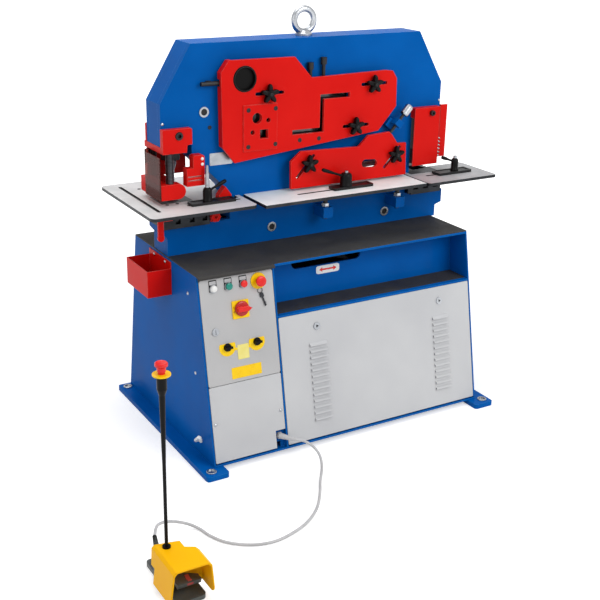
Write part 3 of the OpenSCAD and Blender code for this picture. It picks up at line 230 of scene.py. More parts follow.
# Moulded plastic: even colour, faint flow clouds and a spark-eroded grain
def mouldedPlastic(name, codes, roughness=(0.35, 0.5), grainMm=0.9, gloss=0.4):
    material, tree, shader, place = startMaterial(name)
    colour, cloud = mottle(tree, place, 25.0, codes)
    grain = addNode(tree, "ShaderNodeTexNoise", {"Vector": place, "Scale": 1000 / grainMm, "Detail": 2.0})
    dress(tree, shader, colour, cloud, roughness, relief(tree, grain.outputs["Fac"], 0.08, 0.1))
    shader.inputs["Specular IOR Level"].default_value = gloss
    return material


# Ribbed rubber mat: near black with faint clouds in its tone; ribs 6 mm apart run from left to right
def ribbedRubber(name, codes, pitchMm=6.0):
    material, tree, shader, place = startMaterial(name)
    colour, cloud = mottle(tree, place, 9.0, codes)
    dress(tree, shader, colour, cloud, (0.6, 0.8), waves(tree, place, "Y", pitchMm, 0.5, 0.5))
    shader.inputs["Specular IOR Level"].default_value = 0.3
    return material


# Tinted polycarbonate sheet: a red-brown shade through it and light handling scratches. Its IOR is
# matched lower than the usual 1.58, so that white surroundings don't wash out the tint.
def tintedSheet(name, code, seeThrough, ior=1.15):
    material, tree, shader, place = startMaterial(name)
    scratch = addNode(tree, "ShaderNodeTexNoise", {"Vector": place, "Scale": 60.0, "Detail": 6.0})
    dress(tree, shader, None, scratch.outputs["Fac"], (0.04, 0.14))
    shader.inputs["Base Color"].default_value = linear(code)
    shader.inputs["Transmission Weight"].default_value = seeThrough
    shader.inputs["Specular IOR Level"].default_value = 0.2
    shader.inputs["IOR"].default_value = ior
    return material


finishes = {
    "blueEnamel": sprayedEnamel("blueEnamel", ("#0054A2", "#035DAF"), "#3A86C6", gloss=0.02),
    "redEnamel": sprayedEnamel("redEnamel", ("#D2110D", "#DB1711"), "#EE7168", (0.3, 0.44), 2.2, 2.6),
    "greyPowder": powderCoat("greyPowderCoat", ("#BEBFC2", "#C7C8CA")),
    "doorPowder": powderCoat("doorPowderCoat", ("#B4B4B5", "#BCBCBD")),
    "yellowPowder": powderCoat("yellowPowderCoat", ("#FDB900", "#FFC200"), (0.36, 0.5), 1.6, 5.0, 0.1),
    "matRubber": ribbedRubber("ribbedRubber", ("#2E2D2D", "#383736")),
    "groundPlate": workedSteel("groundSteelPlate", ("#C9CACA", "#D6D6D6"), (0.5, 0.65), bumpBy=0.08, metal=0.15),
    # lighter, cool-tinted copy of the ground plate: painted light that cancels the red bounce on the middle table
    "brightPlate": workedSteel("brightSteelPlate", ("#E0E9E9", "#EAF2F2"), (0.55, 0.7), bumpBy=0.08, metal=0.05),
    # darker copy of the ground plate for the right table
    "dullPlate": workedSteel("dulledSteelPlate", ("#A3A4A6", "#B0B1B3"), (0.5, 0.65), bumpBy=0.08, metal=0.2),
    "toolSteel": workedSteel("hardenedToolSteel", ("#8A8D92", "#A3A6AB"), (0.25, 0.4)),
    "postSteel": ringedSteel("threadedPostSteel", ("#3A3C3F", "#4C4E52"), 5.0, 1.0),
    "milledSteel": workedSteel("milledSteel", ("#232528", "#323438"), (0.35, 0.55), 3.0, metal=0.8),
    "blackOxide": workedSteel("blackenedSteel", ("#0E0E10", "#18181A"), (0.35, 0.55), 2.0, metal=0.35),
    "zincPlate": workedSteel("zincPlatedSteel", ("#9C9FA4", "#B5B8BC"), (0.2, 0.34), 0.8),
    "innerPaint": sprayedEnamel("greyMachineEnamel", ("#33363B", "#3D4046"), "#5A5E64"),
    "blackNylon": mouldedPlastic("blackNylon", ("#050506", "#0B0B0C"), (0.28, 0.4), 0.9, 0.12),
    # near-black plastic for the sight ring and the floor of its hole; the floor is painted shade
    "deepBlack": mouldedPlastic("deepBlackPlastic", ("#020202", "#050505"), (0.4, 0.5), 0.9, 0.1),
    "greyNylon": mouldedPlastic("filledGreyNylon", ("#464A48", "#525654")),
    "paleYellow": mouldedPlastic("paleYellowFoil", ("#E9DC78", "#F0E48C"), (0.35, 0.45), 0.9, 0.3),
    "greyPlastic": mouldedPlastic("greyPolyamide", ("#B2B2B4", "#C0C0C2")),
    "whitePlastic": mouldedPlastic("whiteLacquer", ("#E6E6E4", "#F0F0EE"), (0.25, 0.35)),
    "yellowPlastic": mouldedPlastic("yellowAbs", ("#F7C800", "#FFD400"), (0.25, 0.35), 0.9, 0.3),
    "redPlastic": mouldedPlastic("redAbs", ("#DE1C1A", "#E62420"), (0.22, 0.32), 0.9, 0.35),
    # darker copy of the handle's red for the switch dial: painted shade
    "dialRed": mouldedPlastic("dialRedAbs", ("#B01715", "#BC1B18"), (0.22, 0.32)),
    "darkRed": mouldedPlastic("darkRedAbs", ("#9C1210", "#A81614"), (0.25, 0.35)),
    "dustyRed": mouldedPlastic("fadedRedPaint", ("#B04A48", "#BC5552"), (0.5, 0.65)),
    "greenPlastic": mouldedPlastic("greenPolycarbonate", ("#0A7F70", "#0E8C7C"), (0.15, 0.25)),
    "clearSheet": tintedSheet("smokedPolycarbonate", "#84433A", 0.8),
}

slotFinish = {
    "blue_paint": "blueEnamel",
    "red_paint": "redEnamel",
    "grey_paint": "greyPowder",
    "door_paint": "doorPowder",
    "yellow_paint": "yellowPowder",
    "mat_rubber": "matRubber",
    "table_steel": "groundPlate",
    "tool_steel": "toolSteel",
    "machined_steel": "milledSteel",
    "dark_steel": "blackOxide",
    "zinc_steel": "zincPlate",
    "inner_paint": "innerPaint",
    "black_plastic": "blackNylon",
    "grey_plastic": "greyPlastic",
    "yellow_plastic": "yellowPlastic",
    "red_plastic": "redPlastic",
    "green_plastic": "greenPlastic",
    "clear_plastic": "clearSheet",
}
finishSlot = {finish: slot for slot, finish in slotFinish.items()}
finishSlot.update(
    dialRed="red_plastic",
    darkRed="red_plastic",
    dustyRed="red_plastic",
    deepBlack="black_plastic",
    greyNylon="black_plastic",
    paleYellow="yellow_plastic",
    whitePlastic="grey_plastic",
    brightPlate="table_steel",
    dullPlate="table_steel",
    postSteel="tool_steel",
)
slotOf = {s["node"]: s["material_slot"] for s in frame["record"]["subparts"]}
for name, node in nodes.items():
    node.data.materials.clear()
    node.data.materials.append(finishes[slotFinish[slotOf[name]]])
print("finishes set")

bodyOf = {n: body for body, members in frame["record"]["behaviour"]["bodies"].items() for n in members}
skins = {}


# Where a ray from a point in millimetres first meets a part
def hitOn(node, start, direction):
    if node not in skins:
        mesh = nodes[node].data
        skins[node] = BVHTree.FromPolygons([v.co for v in mesh.vertices], [p.vertices for p in mesh.polygons])
    found, normal = skins[node].ray_cast(Vector(start) * mm, Vector(direction).normalized())[:2]
    if found is None:
        raise ValueError(f"no surface of {node} from {tuple(start)}")
    return found / mm, normal


# A part's low and high corners and middle, in millimetres
def boxOf(node):
    low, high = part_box(node)
    return low / mm, high / mm, (low + high) / 2 / mm


# Place of a piece, in millimetres: its x across, y up and z out of the surface
def placeAt(point, out, up=(0, 0, 1)):
    z = Vector(out).normalized()
    x = Vector(up).cross(z).normalized()
    y = z.cross(x)
    turn = Matrix((x, y, z)).transposed().to_4x4()
    return Matrix.Translation(Vector(point) * mm) @ turn


def roundRing(radius, z, count=32, centre=(0, 0)):
    turns = [2 * math.pi * k / count for k in range(count)]
    return [Vector((centre[0] + radius * math.cos(a), centre[1] + radius * math.sin(a), z)) for a in turns]


# Hexagon's outline with as many points as a circle's
def hexRing(acrossFlats, z, count=24):
    ring = []
    for k in range(count):
        a = 2 * math.pi * k / count
        off = (a % (math.pi / 3)) - math.pi / 6
        r = acrossFlats / 2 / math.cos(off)
        ring.append(Vector((r * math.cos(a), r * math.sin(a), z)))
    return ring


def boxRing(width, height, corner, z, perCorner=5, centre=(0, 0)):
    ring = []
    for q in range(4):
        cx = (width / 2 - corner) * (1 if q in (0, 3) else -1)
        cy = (height / 2 - corner) * (1 if q in (0, 1) else -1)
        for k in range(perCorner):
            a = math.pi / 2 * (q + k / (perCorner - 1))
            ring.append(Vector((centre[0] + cx + corner * math.cos(a), centre[1] + cy + corner * math.sin(a), z)))
    return ring


# Outline of a rounded rectangle, in its own plane
def boxOutline(width, height, corner, centre=(0, 0), perCorner=5):
    return [p.xy for p in boxRing(width, height, corner, 0, perCorner, centre)]


def inMetres(points):
    return [Vector(p) * mm for p in points]


# Rings of a turned shape, from its (radius, height) pairs
def turnedRings(profile, count, centre=(0, 0)):
    return [roundRing(r, z, count, centre) for r, z in profile]


# Skin over rings of equally many points, capped at its ends or closed on itself
def addLoft(made, rings, place=None, endless=False):
    place = Matrix() if place is None else place
    rows = [[made.verts.new(place @ (point * mm)) for point in ring] for ring in rings]
    for low, high in zip(rows, rows[1:] + (rows[:1] if endless else [])):
        for k in range(len(low)):
            j = (k + 1) % len(low)
            made.faces.new((low[k], low[j], high[j], high[k]))
    if not endless:
        made.faces.new(list(reversed(rows[0])))
        made.faces.new(rows[-1])


# Plate with a small chamfer, from an outline in its own plane
def addPlate(made, outline, thickness, place, edge=0.4):
    middle = sum((Vector(p) for p in outline), Vector((0, 0))) / len(outline)

    def ring(z, inset):
        found = []
        for p in outline:
            away = Vector(p) - middle
            found.append((middle + away * (1 - inset / max(away.length, 1))).to_3d() + Vector((0, 0, z)))
        return found

    addLoft(made, [ring(0, 0), ring(thickness - edge, 0), ring(thickness, edge)], place)


def newPiece(name, mesh, body, finish):
    piece = bpy.data.objects.new(name, mesh)
    bpy.context.scene.collection.objects.link(piece)
    mesh.materials.clear()
    mesh.materials.append(finishes[finish])
    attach(piece, body)
    return piece


def smoothMesh(name, made, sharpDeg=35):
    mesh = bpy.data.meshes.new(name)
    made.to_mesh(mesh)
    made.free()
    for face in mesh.polygons:
        face.use_smooth = True
    mesh.set_sharp_from_angle(angle=math.radians(sharpDeg))
    return mesh


def finishPiece(name, made, body, finish, sharpDeg=35):
    return newPiece(name, smoothMesh(name, made, sharpDeg), body, finish)


# Second finish on the faces of a part whose middles, in millimetres, pass a test
def paintWhere(node, finish, chosen):
    mesh = nodes[node].data
    if finishes[finish].name not in mesh.materials:
        mesh.materials.append(finishes[finish])
    index = mesh.materials.find(finishes[finish].name)
    for face in mesh.polygons:
        if chosen(face.center / mm):
            face.material_index = index


def paint(node, finish, low, high):
    paintWhere(node, finish, lambda middle: all(low[i] <= middle[i] <= high[i] for i in range(3)))


# Points along a smooth curve through the given ones, steps between each two
def smoothPath(points, steps):
    found = []
    for i in range(len(points) - 1):
        p0, p1 = points[max(i - 1, 0)], points[i]
        p2, p3 = points[i + 1], points[min(i + 2, len(points) - 1)]
        for k in range(steps):
            t = k / steps
            found.append(
                0.5
                * (2 * p1 + (p2 - p0) * t + (2 * p0 - 5 * p1 + 4 * p2 - p3) * t**2 + (3 * p1 - p0 - 3 * p2 + p3) * t**3)
            )
    return found + [points[-1]]


# Round tube on a path, both in metres
def addTube(made, path, radius, sides=16):
    side = None
    rings = []
    for i, point in enumerate(path):
        ahead = (path[min(i + 1, len(path) - 1)] - path[max(i - 1, 0)]).normalized()
        if side is None:
            side = ahead.cross(Vector((0.01, 0.02, 1))).normalized()
        side = (side - ahead * side.dot(ahead)).normalized()
        up = ahead.cross(side)
        turns = [2 * math.pi * k / sides for k in range(sides)]
        rings.append([(point + radius * (math.cos(a) * side + math.sin(a) * up)) / mm for a in turns])
    addLoft(made, rings)


# The foot switch's cable, from the gland on the lower panel to the strain relief of the switch
cableSet = {
    "diameterMm": 10.0,
    "steps": 3,
    "points": [
        (-283, -410, 68), (-252, -425, 60), (-228, -452, 44), (-222, -490, 24), (-240, -535, 9),
        (-270, -580, 5), (-302, -625, 5), (-350, -700, 5), (-410, -775, 5), (-490, -835, 5),
        (-590, -870, 5), (-660, -870, 5), (-720, -845, 5), (-772, -798, 5), (-800, -740, 5),
        (-812, -692, 6), (-842, -668, 20), (-890, -672, 46), (-945, -706, 80), (-988, -752, 104),
        (-1015, -800, 104),
    ],
}
cablePath = smoothPath(inMetres(cableSet["points"]), cableSet["steps"])
made = bmesh.new()
addTube(made, cablePath, cableSet["diameterMm"] / 2 * mm)
cable = finishPiece("cable", made, "machine", "greyPlastic", 60)
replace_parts(cable, "pedal_cable")


# Node tree that takes a mesh and named inputs
def startTree(name, inputs):
    tree = bpy.data.node_groups.new(name, "GeometryNodeTree")
    for label, kind in {"Geometry": "Geometry", **inputs}.items():
        tree.interface.new_socket(label, in_out="INPUT", socket_type="NodeSocket" + kind)
    tree.interface.new_socket("Geometry", in_out="OUTPUT", socket_type="NodeSocketGeometry")
    return tree, addNode(tree, "NodeGroupInput").outputs


# Every tree ends in a real mesh that has its finish on it
def endTree(tree, geometry, finish):
    real = addNode(tree, "GeometryNodeRealizeInstances", {"Geometry": geometry}).outputs["Geometry"]
    coated = addNode(tree, "GeometryNodeSetMaterial", {"Geometry": real, "Material": finish})
    addNode(tree, "NodeGroupOutput", {"Geometry": coated.outputs["Geometry"]})
    return tree


# A head on every point, its z along the point's "facing", each turned by a seeded chance
def headTree():
    inputs = {"Head": "Object", "Head size": "Float", "Seed": "Int", "Finish": "Material"}
    tree, given = startTree("headsOnPoints", inputs)
    facing = addNode(tree, "GeometryNodeInputNamedAttribute", {"Name": "facing"}, data_type="FLOAT_VECTOR")
    size = addNode(tree, "GeometryNodeInputNamedAttribute", {"Name": "size"}, data_type="FLOAT")
    scale = addNode(
        tree, "ShaderNodeMath", {0: size.outputs["Attribute"], 1: given["Head size"]}, operation="DIVIDE"
    )
    aligned = addNode(
        tree, "FunctionNodeAlignRotationToVector", {"Vector": facing.outputs["Attribute"]}, axis="Z"
    )
    chance = addNode(
        tree, "FunctionNodeRandomValue", {2: 0.0, 3: 2 * math.pi, "Seed": given["Seed"]}, data_type="FLOAT"
    )
    spin = addNode(tree, "FunctionNodeAxisAngleToRotation", {"Axis": (0, 0, 1), "Angle": chance.outputs[1]})
    turned = addNode(
        tree,
        "FunctionNodeRotateRotation",
        {"Rotation": aligned.outputs["Rotation"], "Rotate By": spin.outputs["Rotation"]},
        rotation_space="LOCAL",
    )
    head = addNode(tree, "GeometryNodeObjectInfo", {"Object": given["Head"]})
    placed = addNode(
        tree,
        "GeometryNodeInstanceOnPoints",
        {
            "Points": given["Geometry"],
            "Instance": head.outputs["Geometry"],
            "Rotation": turned.outputs["Rotation"],
            "Scale": scale.outputs[0],
        },
    )
    return endTree(tree, placed.outputs["Instances"], given["Finish"])


# A mesh made by a node tree from a starting mesh and its named inputs
def growMesh(name, tree, start, inputs):
    carrier = bpy.data.objects.new(name, start)
    bpy.context.scene.collection.objects.link(carrier)
    modifier = carrier.modifiers.new("grow", "NODES")
    modifier.node_group = tree
    for item in tree.interface.items_tree:
        if item.item_type == "SOCKET" and item.in_out == "INPUT" and item.name in inputs:
            modifier[item.identifier] = inputs[item.name]
    seen = bpy.context.evaluated_depsgraph_get()
    mesh = bpy.data.meshes.new_from_object(carrier.evaluated_get(seen))
    bpy.data.objects.remove(carrier)
    mesh.name = name
    return mesh


# Heads 10 mm wide: rings from the seat outwards
headRings = {
    "socket": turnedRings(((5, 0), (5, 5.3), (4.5, 6)), 24) + [hexRing(5, 6), hexRing(5, 2.4)],
    "flush": turnedRings(((5, 0), (5, 0.4), (4.6, 0.7)), 24) + [hexRing(5, 0.7), hexRing(5, 0.15)],
    "dome": turnedRings(((5, 0), (4.9, 0.8), (4.2, 1.7), (2.8, 2.5), (1, 2.9)), 24),
    "hex": [roundRing(6.4, 0, 24), roundRing(6.4, 1, 24), hexRing(8.8, 1), hexRing(8.8, 5), roundRing(4.1, 5.8, 24)],
    "tube": turnedRings(((5, 0), (5, 0.9), (4.6, 1.2), (3.4, 1.2), (3.4, 0.1)), 24),
}
heads = {}
for kind, rings in headRings.items():
    made = bmesh.new()
    addLoft(made, rings)
    heads[kind] = bpy.data.objects.new(kind + "Head", smoothMesh(kind + "Head", made))
headsOnPoints = headTree()


# Spots are (place in millimetres, facing, width in millimetres)
def setHeads(name, kind, spots, body, finish, seed=3):
    points = bpy.data.meshes.new(name + "Points")
    points.from_pydata([Vector(place) * mm for place, facing, width in spots], [], [])
    points.attributes.new("facing", "FLOAT_VECTOR", "POINT")
    points.attributes.new("size", "FLOAT", "POINT")
    for i, (place, facing, width) in enumerate(spots):
        points.attributes["facing"].data[i].vector = Vector(facing)
        points.attributes["size"].data[i].value = width
    inputs = {"Head": heads[kind], "Head size": 10.0, "Seed": seed, "Finish": finishes[finish]}
    mesh = growMesh(name, headsOnPoints, points, inputs)
    return newPiece(name, mesh, body, finish)


front, back, left, right, upward = (0, -1, 0), (0, 1, 0), (-1, 0, 0), (1, 0, 0), (0, 0, 1)
frameLow = boxOf("front_plate")[0]
guardFace = hitOn("section_guard", (0, -300, 1200), back)[0].y

# Screws, rivets and nuts in the places where the machine has them
machineHeads = {
    "endRivets": ("dome", "zincPlate", [((frameLow.x + 10, 0, 1208), front, 11), ((613, 0, 1203), front, 11)]),
    "plateHole": ("tube", "blackOxide", [((-425, 0, 1181), front, 15)]),
    "throatScrews": ("dome", "whitePlastic", [((-472, -34, z), front, 12) for z in (1058, 1078)]),
    "notchScrew": ("socket", "blackOxide", [((557, boxOf("notch_guard")[0].y, 1160), front, 22)]),
    "tableScrews": (
        "flush",
        "blackOxide",
        [((x, y, boxOf("left_table")[1].z), upward, 14) for x, y in ((-608, 244), (-603, -9), (-562, -7))],
    ),
    "bolsterNuts": (
        "hex",
        "milledSteel",
        [((x, -8, 858), front, 17) for x in (-568, -512, -460)]
        + [((x, -14, 861), front, 18) for x in (503, 553, 603)],
    ),
    "chipBoxScrews": ("dome", "zincPlate", [((boxOf("cabinet")[0].x - 3.3, y, 692), left, 13) for y in (15, 115)]),
    "wallScrews": (
        "dome",
        "zincPlate",
        [((-604, -177, 630), left, 13), ((-604, -232, 338), left, 13), ((598, -137, 607), left, 11)],
    ),
    "anchorRings": (
        "tube",
        "zincPlate",
        [((s * 626, e * 402, boxOf("foot_rails")[1].z), upward, 38) for s in (-1, 1) for e in (-1, 1)],
    ),
}
for name, (kind, finish, spots) in machineHeads.items():
    setHeads(name, kind, spots, "machine", finish)

barPlate = hitOn("section_guard", (-200, -300, 1240), back)[0].y
setHeads(
    "barPlateScrews",
    "flush",
    [((x, barPlate, z), front, 17) for x, z in ((-288, 1239), (-175, 1238), (-289, 1104), (-175, 1105))]
    + [((x, guardFace, z), front, 17) for x, z in ((-66, 1108), (19, 1107))],
    "section_guard",
    "blackOxide",
)
print("screws set")

# Star knobs of the guards: five lobes, a waisted hub and a blind bore for the stud
knobSet = {"meanMm": 25.5, "lobeMm": 11.0, "lobes": 5, "points": 80, "boreMm": 6.4}
knobs = [f"knob_{k}" for k in range(1, 6)]


def starRing(z, shrink):
    ring = []
    for k in range(knobSet["points"]):
        a = 2 * math.pi * k / knobSet["points"]
        r = (knobSet["meanMm"] + knobSet["lobeMm"] * math.cos(knobSet["lobes"] * (a - math.pi / 2))) * shrink
        ring.append(Vector((r * math.cos(a), r * math.sin(a), z)))
    return ring


for knob in knobs:
    seat = Vector(joints[knob + "_turn"]["pos_m"]) / mm
    seat.y = boxOf(knob)[1].y
    count = knobSet["points"]
    made = bmesh.new()
    addLoft(
        made,
        [roundRing(knobSet["boreMm"], 20.5, count), roundRing(knobSet["boreMm"], 0, count)]
        + [roundRing(14.5, 0, count), roundRing(14.2, 7, count), starRing(8, 0.96), starRing(10, 1), starRing(21, 1)]
        + [starRing(24, 0.95), starRing(25, 0.86), roundRing(12.4, 26, count), roundRing(12, 29, count)]
        + [roundRing(10.5, 30, count)],
        placeAt(seat, front),
    )
    body = bodyOf[knob]
    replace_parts(finishPiece("star_" + knob, made, body, "blackNylon", 30), knob)
    setHeads("insert_" + knob, "tube", [((seat.x, seat.y - 30, seat.z), front, 13)], body, "blackOxide")

# Black sight ring in the section guard's round hole, closed by a near-black floor that paints the shade inside the hole
sightSet = {
    "x": -300,
    "z": 1352,
    "sides": 64,
    "cup": ((41.4, -11.6), (41.4, -2.9), (46.8, -2.9), (46.8, 1.8), (45.4, 3), (42.4, 3), (40.6, 1.6), (40.2, -10)),
    "bezel": ((43.6, 2.6), (43.6, 3.4), (42.4, 3.7), (42.0, 2.6)),
}
sight = placeAt((sightSet["x"], guardFace, sightSet["z"]), front)
made = bmesh.new()
addLoft(made, turnedRings(sightSet["cup"], sightSet["sides"]), sight)
finishPiece("sightCup", made, "section_guard", "deepBlack")
made = bmesh.new()
addLoft(made, turnedRings(sightSet["bezel"], sightSet["sides"]), sight, True)
finishPiece("sightBezel", made, "section_guard", "blackOxide")

# Silver plate on the frame, left bare, with its four rivets
dataPlate = {"centre": (-380, 0, 1062), "size": (94, 46), "thickMm": 1.0}
made = bmesh.new()
width, height = dataPlate["size"]
addPlate(made, boxOutline(width, height, 4), dataPlate["thickMm"], placeAt(dataPlate["centre"], front))
finishPiece("dataPlate", made, "machine", "toolSteel")
corners = [(sx * (width / 2 - 5), sz * (height / 2 - 5)) for sx in (-1, 1) for sz in (-1, 1)]
cx, cy, cz = dataPlate["centre"]
setHeads("dataPlateRivets", "dome", [((cx + x, -1, cz + z), front, 4.5) for x, z in corners], "machine", "zincPlate")

# Second colours on the plain parts: (part, finish, low corner, high corner)
secondColours = [
    ("punch_guard", "blackOxide", (-620, 118, 1045), (-600, 134, 1115)),
    ("hold_down_spindle", "zincPlate", (398, -80, 1160), (460, -10, 1230)),
    ("stripper_posts", "postSteel", (-620, -40, 930), (-570, 160, 1125)),
    ("throat_brackets", "whitePlastic", (-531, -27, 997), (-473, -25.5, 1018)),
    ("frame_screws", "blackOxide", (-470, -30, 1325), (-370, 0, 1352)),
    ("frame_screws", "blackOxide", (-30, -30, 1318), (64, 0, 1412)),
    ("frame_screws", "blackOxide", (0, -75, 855), (420, -30, 904)),
    ("frame_screws", "blackOxide", (0, -75, 780), (420, -30, 838)),
    # The section blades behind the guard's bar and angle openings are painted dark: painted shade in the openings
    ("fixed_tools", "milledSteel", (-130, -10, 1090), (180, 130, 1300)),
    ("fixed_tools", "blackOxide", (-320, -10, 1100), (-170, 130, 1250)),
    ("moving_tools", "milledSteel", (-130, -10, 1090), (180, 130, 1300)),
    ("moving_tools", "blackOxide", (-320, -10, 1100), (-170, 130, 1250)),
    ("moving_tools", "milledSteel", (500, 20, 930), (600, 100, 1200)),
    ("door_lock", "toolSteel", (-700, -400, 450), (-500, -200, 560)),
    ("pedal", "greyNylon", (-1100, -1100, -10), (-900, -700, 90)),
    ("pedal_base", "greyNylon", (-1100, -1100, -10), (-900, -700, 90)),
]
for part in secondColours:
    paint(*part)
for name in knobs:
    x, y, z = Vector(joints[name + "_turn"]["pos_m"]) / mm
    paint("frame_screws", "blackOxide", (x - 14, -75, z - 14), (x + 14, -0.5, z + 14))
for x, z in ((-448, 1239), (-164, 772), (365, 765), (200, 1312)):
    for y in (0, 124):
        paint("frame_screws", "blackOxide", (x - 11.9, y - 0.5, z - 11.9), (x + 11.9, y + 0.5, z + 11.9))
# Tables: the middle top is a lighter, cool-tinted copy of the plate that paints out the red light bounced onto it, the
# right top is darker, and the cut edges are dark
tableTops = {"left_table": None, "middle_table": "brightPlate", "right_table": "dullPlate"}
for name, finish in tableTops.items():
    tableLow, tableHigh = boxOf(name)[:2]
    if finish:
        paint(name, finish, tableLow - Vector((1, 1, 1)), tableHigh + Vector((1, 1, 1)))
    paint(name, "milledSteel", tableLow + Vector((-1, -1, 0.5)), tableHigh + Vector((1, 1, -0.5)))
postTop = boxOf("post_button")[1].z
paint("estop_post", "yellowPlastic", (-1060, -950, postTop - 41), (-990, -880, postTop - 35))
print("second colours set")

# Clamp levers of the stops: turned boss on its stud and nut, arm that swells to a rounded grip
leverSet = {
    "left_lever": {"bossMm": 34, "armMm": 88, "turnDeg": 8, "mastMm": 84},
    "middle_lever": {"bossMm": 46, "armMm": 118, "turnDeg": 180, "mastMm": 0},
    "right_lever": {"bossMm": 30, "armMm": 74, "turnDeg": 180, "mastMm": 0},
}
for name, sizes in leverSet.items():
    x, y = Vector(joints[name + "_turn"]["pos_m"]).xy / mm
    seat = boxOf(name)[0].z + 34.3  # the stud and its nut reach this far below the boss
    r = sizes["bossMm"] / 2
    profile = [(6, -34.3), (6, -32.3), (13, -32.3), (13, -20.9), (6, -20.9), (6, 0), (r + 2, 0), (r + 2, 6), (r, 9)]
    profile += [(r, 38), (r - 1, 44), (r - 4, 49), (r - 7, 51.4), (r - 9, 52), (3, 52)]
    made = bmesh.new()
    addLoft(made, turnedRings(profile, 48), placeAt((x, y, seat), upward, back))
    turn = math.radians(sizes["turnDeg"])
    lean = math.radians(20)
    along = Vector((math.cos(lean) * math.cos(turn), math.cos(lean) * math.sin(turn), math.sin(lean)))
    grip = ((5, 0), (4.4, 0.3), (4.4, 0.5), (5.6, 0.58), (7, 0.72), (7.5, 0.9), (6.8, 0.96), (4.6, 0.99), (1.6, 1.0))
    length = sizes["armMm"]
    addLoft(made, [roundRing(out, far * length, 24) for out, far in grip], placeAt((x, y, seat + 36), along))
    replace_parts(finishPiece("clamp_" + name, made, bodyOf[name], "blackNylon"), name)
    setHeads("bolt_" + name, "socket", [((x, y, seat + 51.5), upward, min(r, 15))], bodyOf[name], "toolSteel")
    if sizes["mastMm"]:
        made = bmesh.new()
        mast = ((4.6, 50), (4.6, 60), (7.5, 62), (7.5, 104), (5.2, 107), (5.2, 128), (3.6, 50 + sizes["mastMm"]))
        addLoft(made, turnedRings(mast, 32), placeAt((x, y, seat), upward, back))
        finishPiece("leftMast", made, bodyOf[name], "toolSteel")

# Dark sliding rail in the left table's long slot
railSet = {"x": -664, "y": 109.5, "railMm": (13.2, 387, 6.5), "highMm": 7, "blockMm": (13, 15, 1), "blockHighMm": 7.6}
made = bmesh.new()
railPlace = placeAt((railSet["x"], railSet["y"], boxOf("left_table")[0].z + 1), upward, back)
addPlate(made, boxOutline(*railSet["railMm"]), railSet["highMm"], railPlace)
addPlate(made, boxOutline(*railSet["blockMm"], (-1, -7.5)), railSet["blockHighMm"], railPlace)
finishPiece("slotRail", made, "machine", "blackOxide")


# Tension spring of the notching guard, wound by Geometry Nodes
def springTree():
    inputs = dict.fromkeys(("Turns", "Coil radius", "Wire radius", "Length"), "Float")
    tree, given = startTree("tensionSpring", {**inputs, "Base": "Vector", "Finish": "Material"})
    coil = addNode(
        tree,
        "GeometryNodeCurveSpiral",
        {
            "Resolution": 20,
            "Rotations": given["Turns"],
            "Start Radius": given["Coil radius"],
            "End Radius": given["Coil radius"],
            "Height": given["Length"],
        },
    )
    wire = addNode(tree, "GeometryNodeCurvePrimitiveCircle", {"Resolution": 8, "Radius": given["Wire radius"]})
    wound = addNode(
        tree,
        "GeometryNodeCurveToMesh",
        {"Curve": coil.outputs[0], "Profile Curve": wire.outputs[0], "Fill Caps": True},
    )
    placed = addNode(tree, "GeometryNodeTransform", {"Geometry": wound.outputs[0], "Translation": given["Base"]})
    return endTree(tree, placed.outputs[0], given["Finish"])


springSet = {
    "Turns": 5.5,
    "Coil radius": 5.6 * mm,
    "Wire radius": 2.9 * mm,
    "Length": 80 * mm,
    "Base": Vector((609, -16, 975)) * mm,
    "Finish": finishes["zincPlate"],
}
spring = growMesh("guardSpring", springTree(), bpy.data.meshes.new("springSeed"), springSet)
newPiece("guardSpring", spring, "machine", "zincPlate")

# Stroke-stop rod and hose that show in the recess's slot
rodSet = {"behindMm": 46, "low": 660, "slope": 0.03, "slopeFrom": -140, "radiusMm": 5, "nutMm": 17}
recessBack, recessNormal = hitOn("cabinet", (0, -500, 622), back)


def onRod(x):
    return Vector((x, recessBack.y + rodSet["behindMm"], rodSet["low"] + (x - rodSet["slopeFrom"]) * rodSet["slope"]))


made = bmesh.new()
addTube(made, inMetres(onRod(x) for x in (-128, -60, 0, 60, 124)), rodSet["radiusMm"] * mm, 20)
for x in (-92, -20, 58):
    nut = [hexRing(rodSet["nutMm"], 0), hexRing(rodSet["nutMm"], 9), roundRing(7.5, 10, 24)]
    addLoft(made, nut, placeAt(onRod(x), right))
finishPiece("strokeRod", made, "machine", "toolSteel")
made = bmesh.new()
hoseSet = {
    "radiusMm": 8,
    "steps": 6,
    "points": ((-126, 70, 650), (-70, 64, 676), (0, 68, 654), (70, 62, 672), (126, 72, 648)),  # x, depth, height
}
hosePath = smoothPath(inMetres((x, recessBack.y + y, z) for x, y, z in hoseSet["points"]), hoseSet["steps"])
addTube(made, hosePath, hoseSet["radiusMm"] * mm, 16)
finishPiece("recessHose", made, "machine", "blackNylon")

# White plate with a red double arrow on the recess's back wall
arrowSet = {"size": (106, 32), "headMm": 15, "reachMm": 40, "shaftMm": 3.2, "headHalfMm": 9}
recessPlace = placeAt(hitOn("cabinet", (2, -500, 620), back)[0], recessNormal)
made = bmesh.new()
addPlate(made, boxOutline(*arrowSet["size"], 10), 1.0, recessPlace)
finishPiece("arrowPlate", made, "machine", "whitePlastic")
reach, neck = arrowSet["reachMm"], arrowSet["reachMm"] - arrowSet["headMm"]
shaft, half = arrowSet["shaftMm"], arrowSet["headHalfMm"]
arrow = [(reach, 0), (neck, half), (neck, shaft), (-neck, shaft), (-neck, half), (-reach, 0)]
arrow += [(-neck, -half), (-neck, -shaft), (neck, -shaft), (neck, -half)]
made = bmesh.new()
addPlate(made, arrow, 0.5, recessPlace @ Matrix.Translation((0, 0, 1.0 * mm)), 0.1)
finishPiece("doubleArrow", made, "machine", "redPlastic")

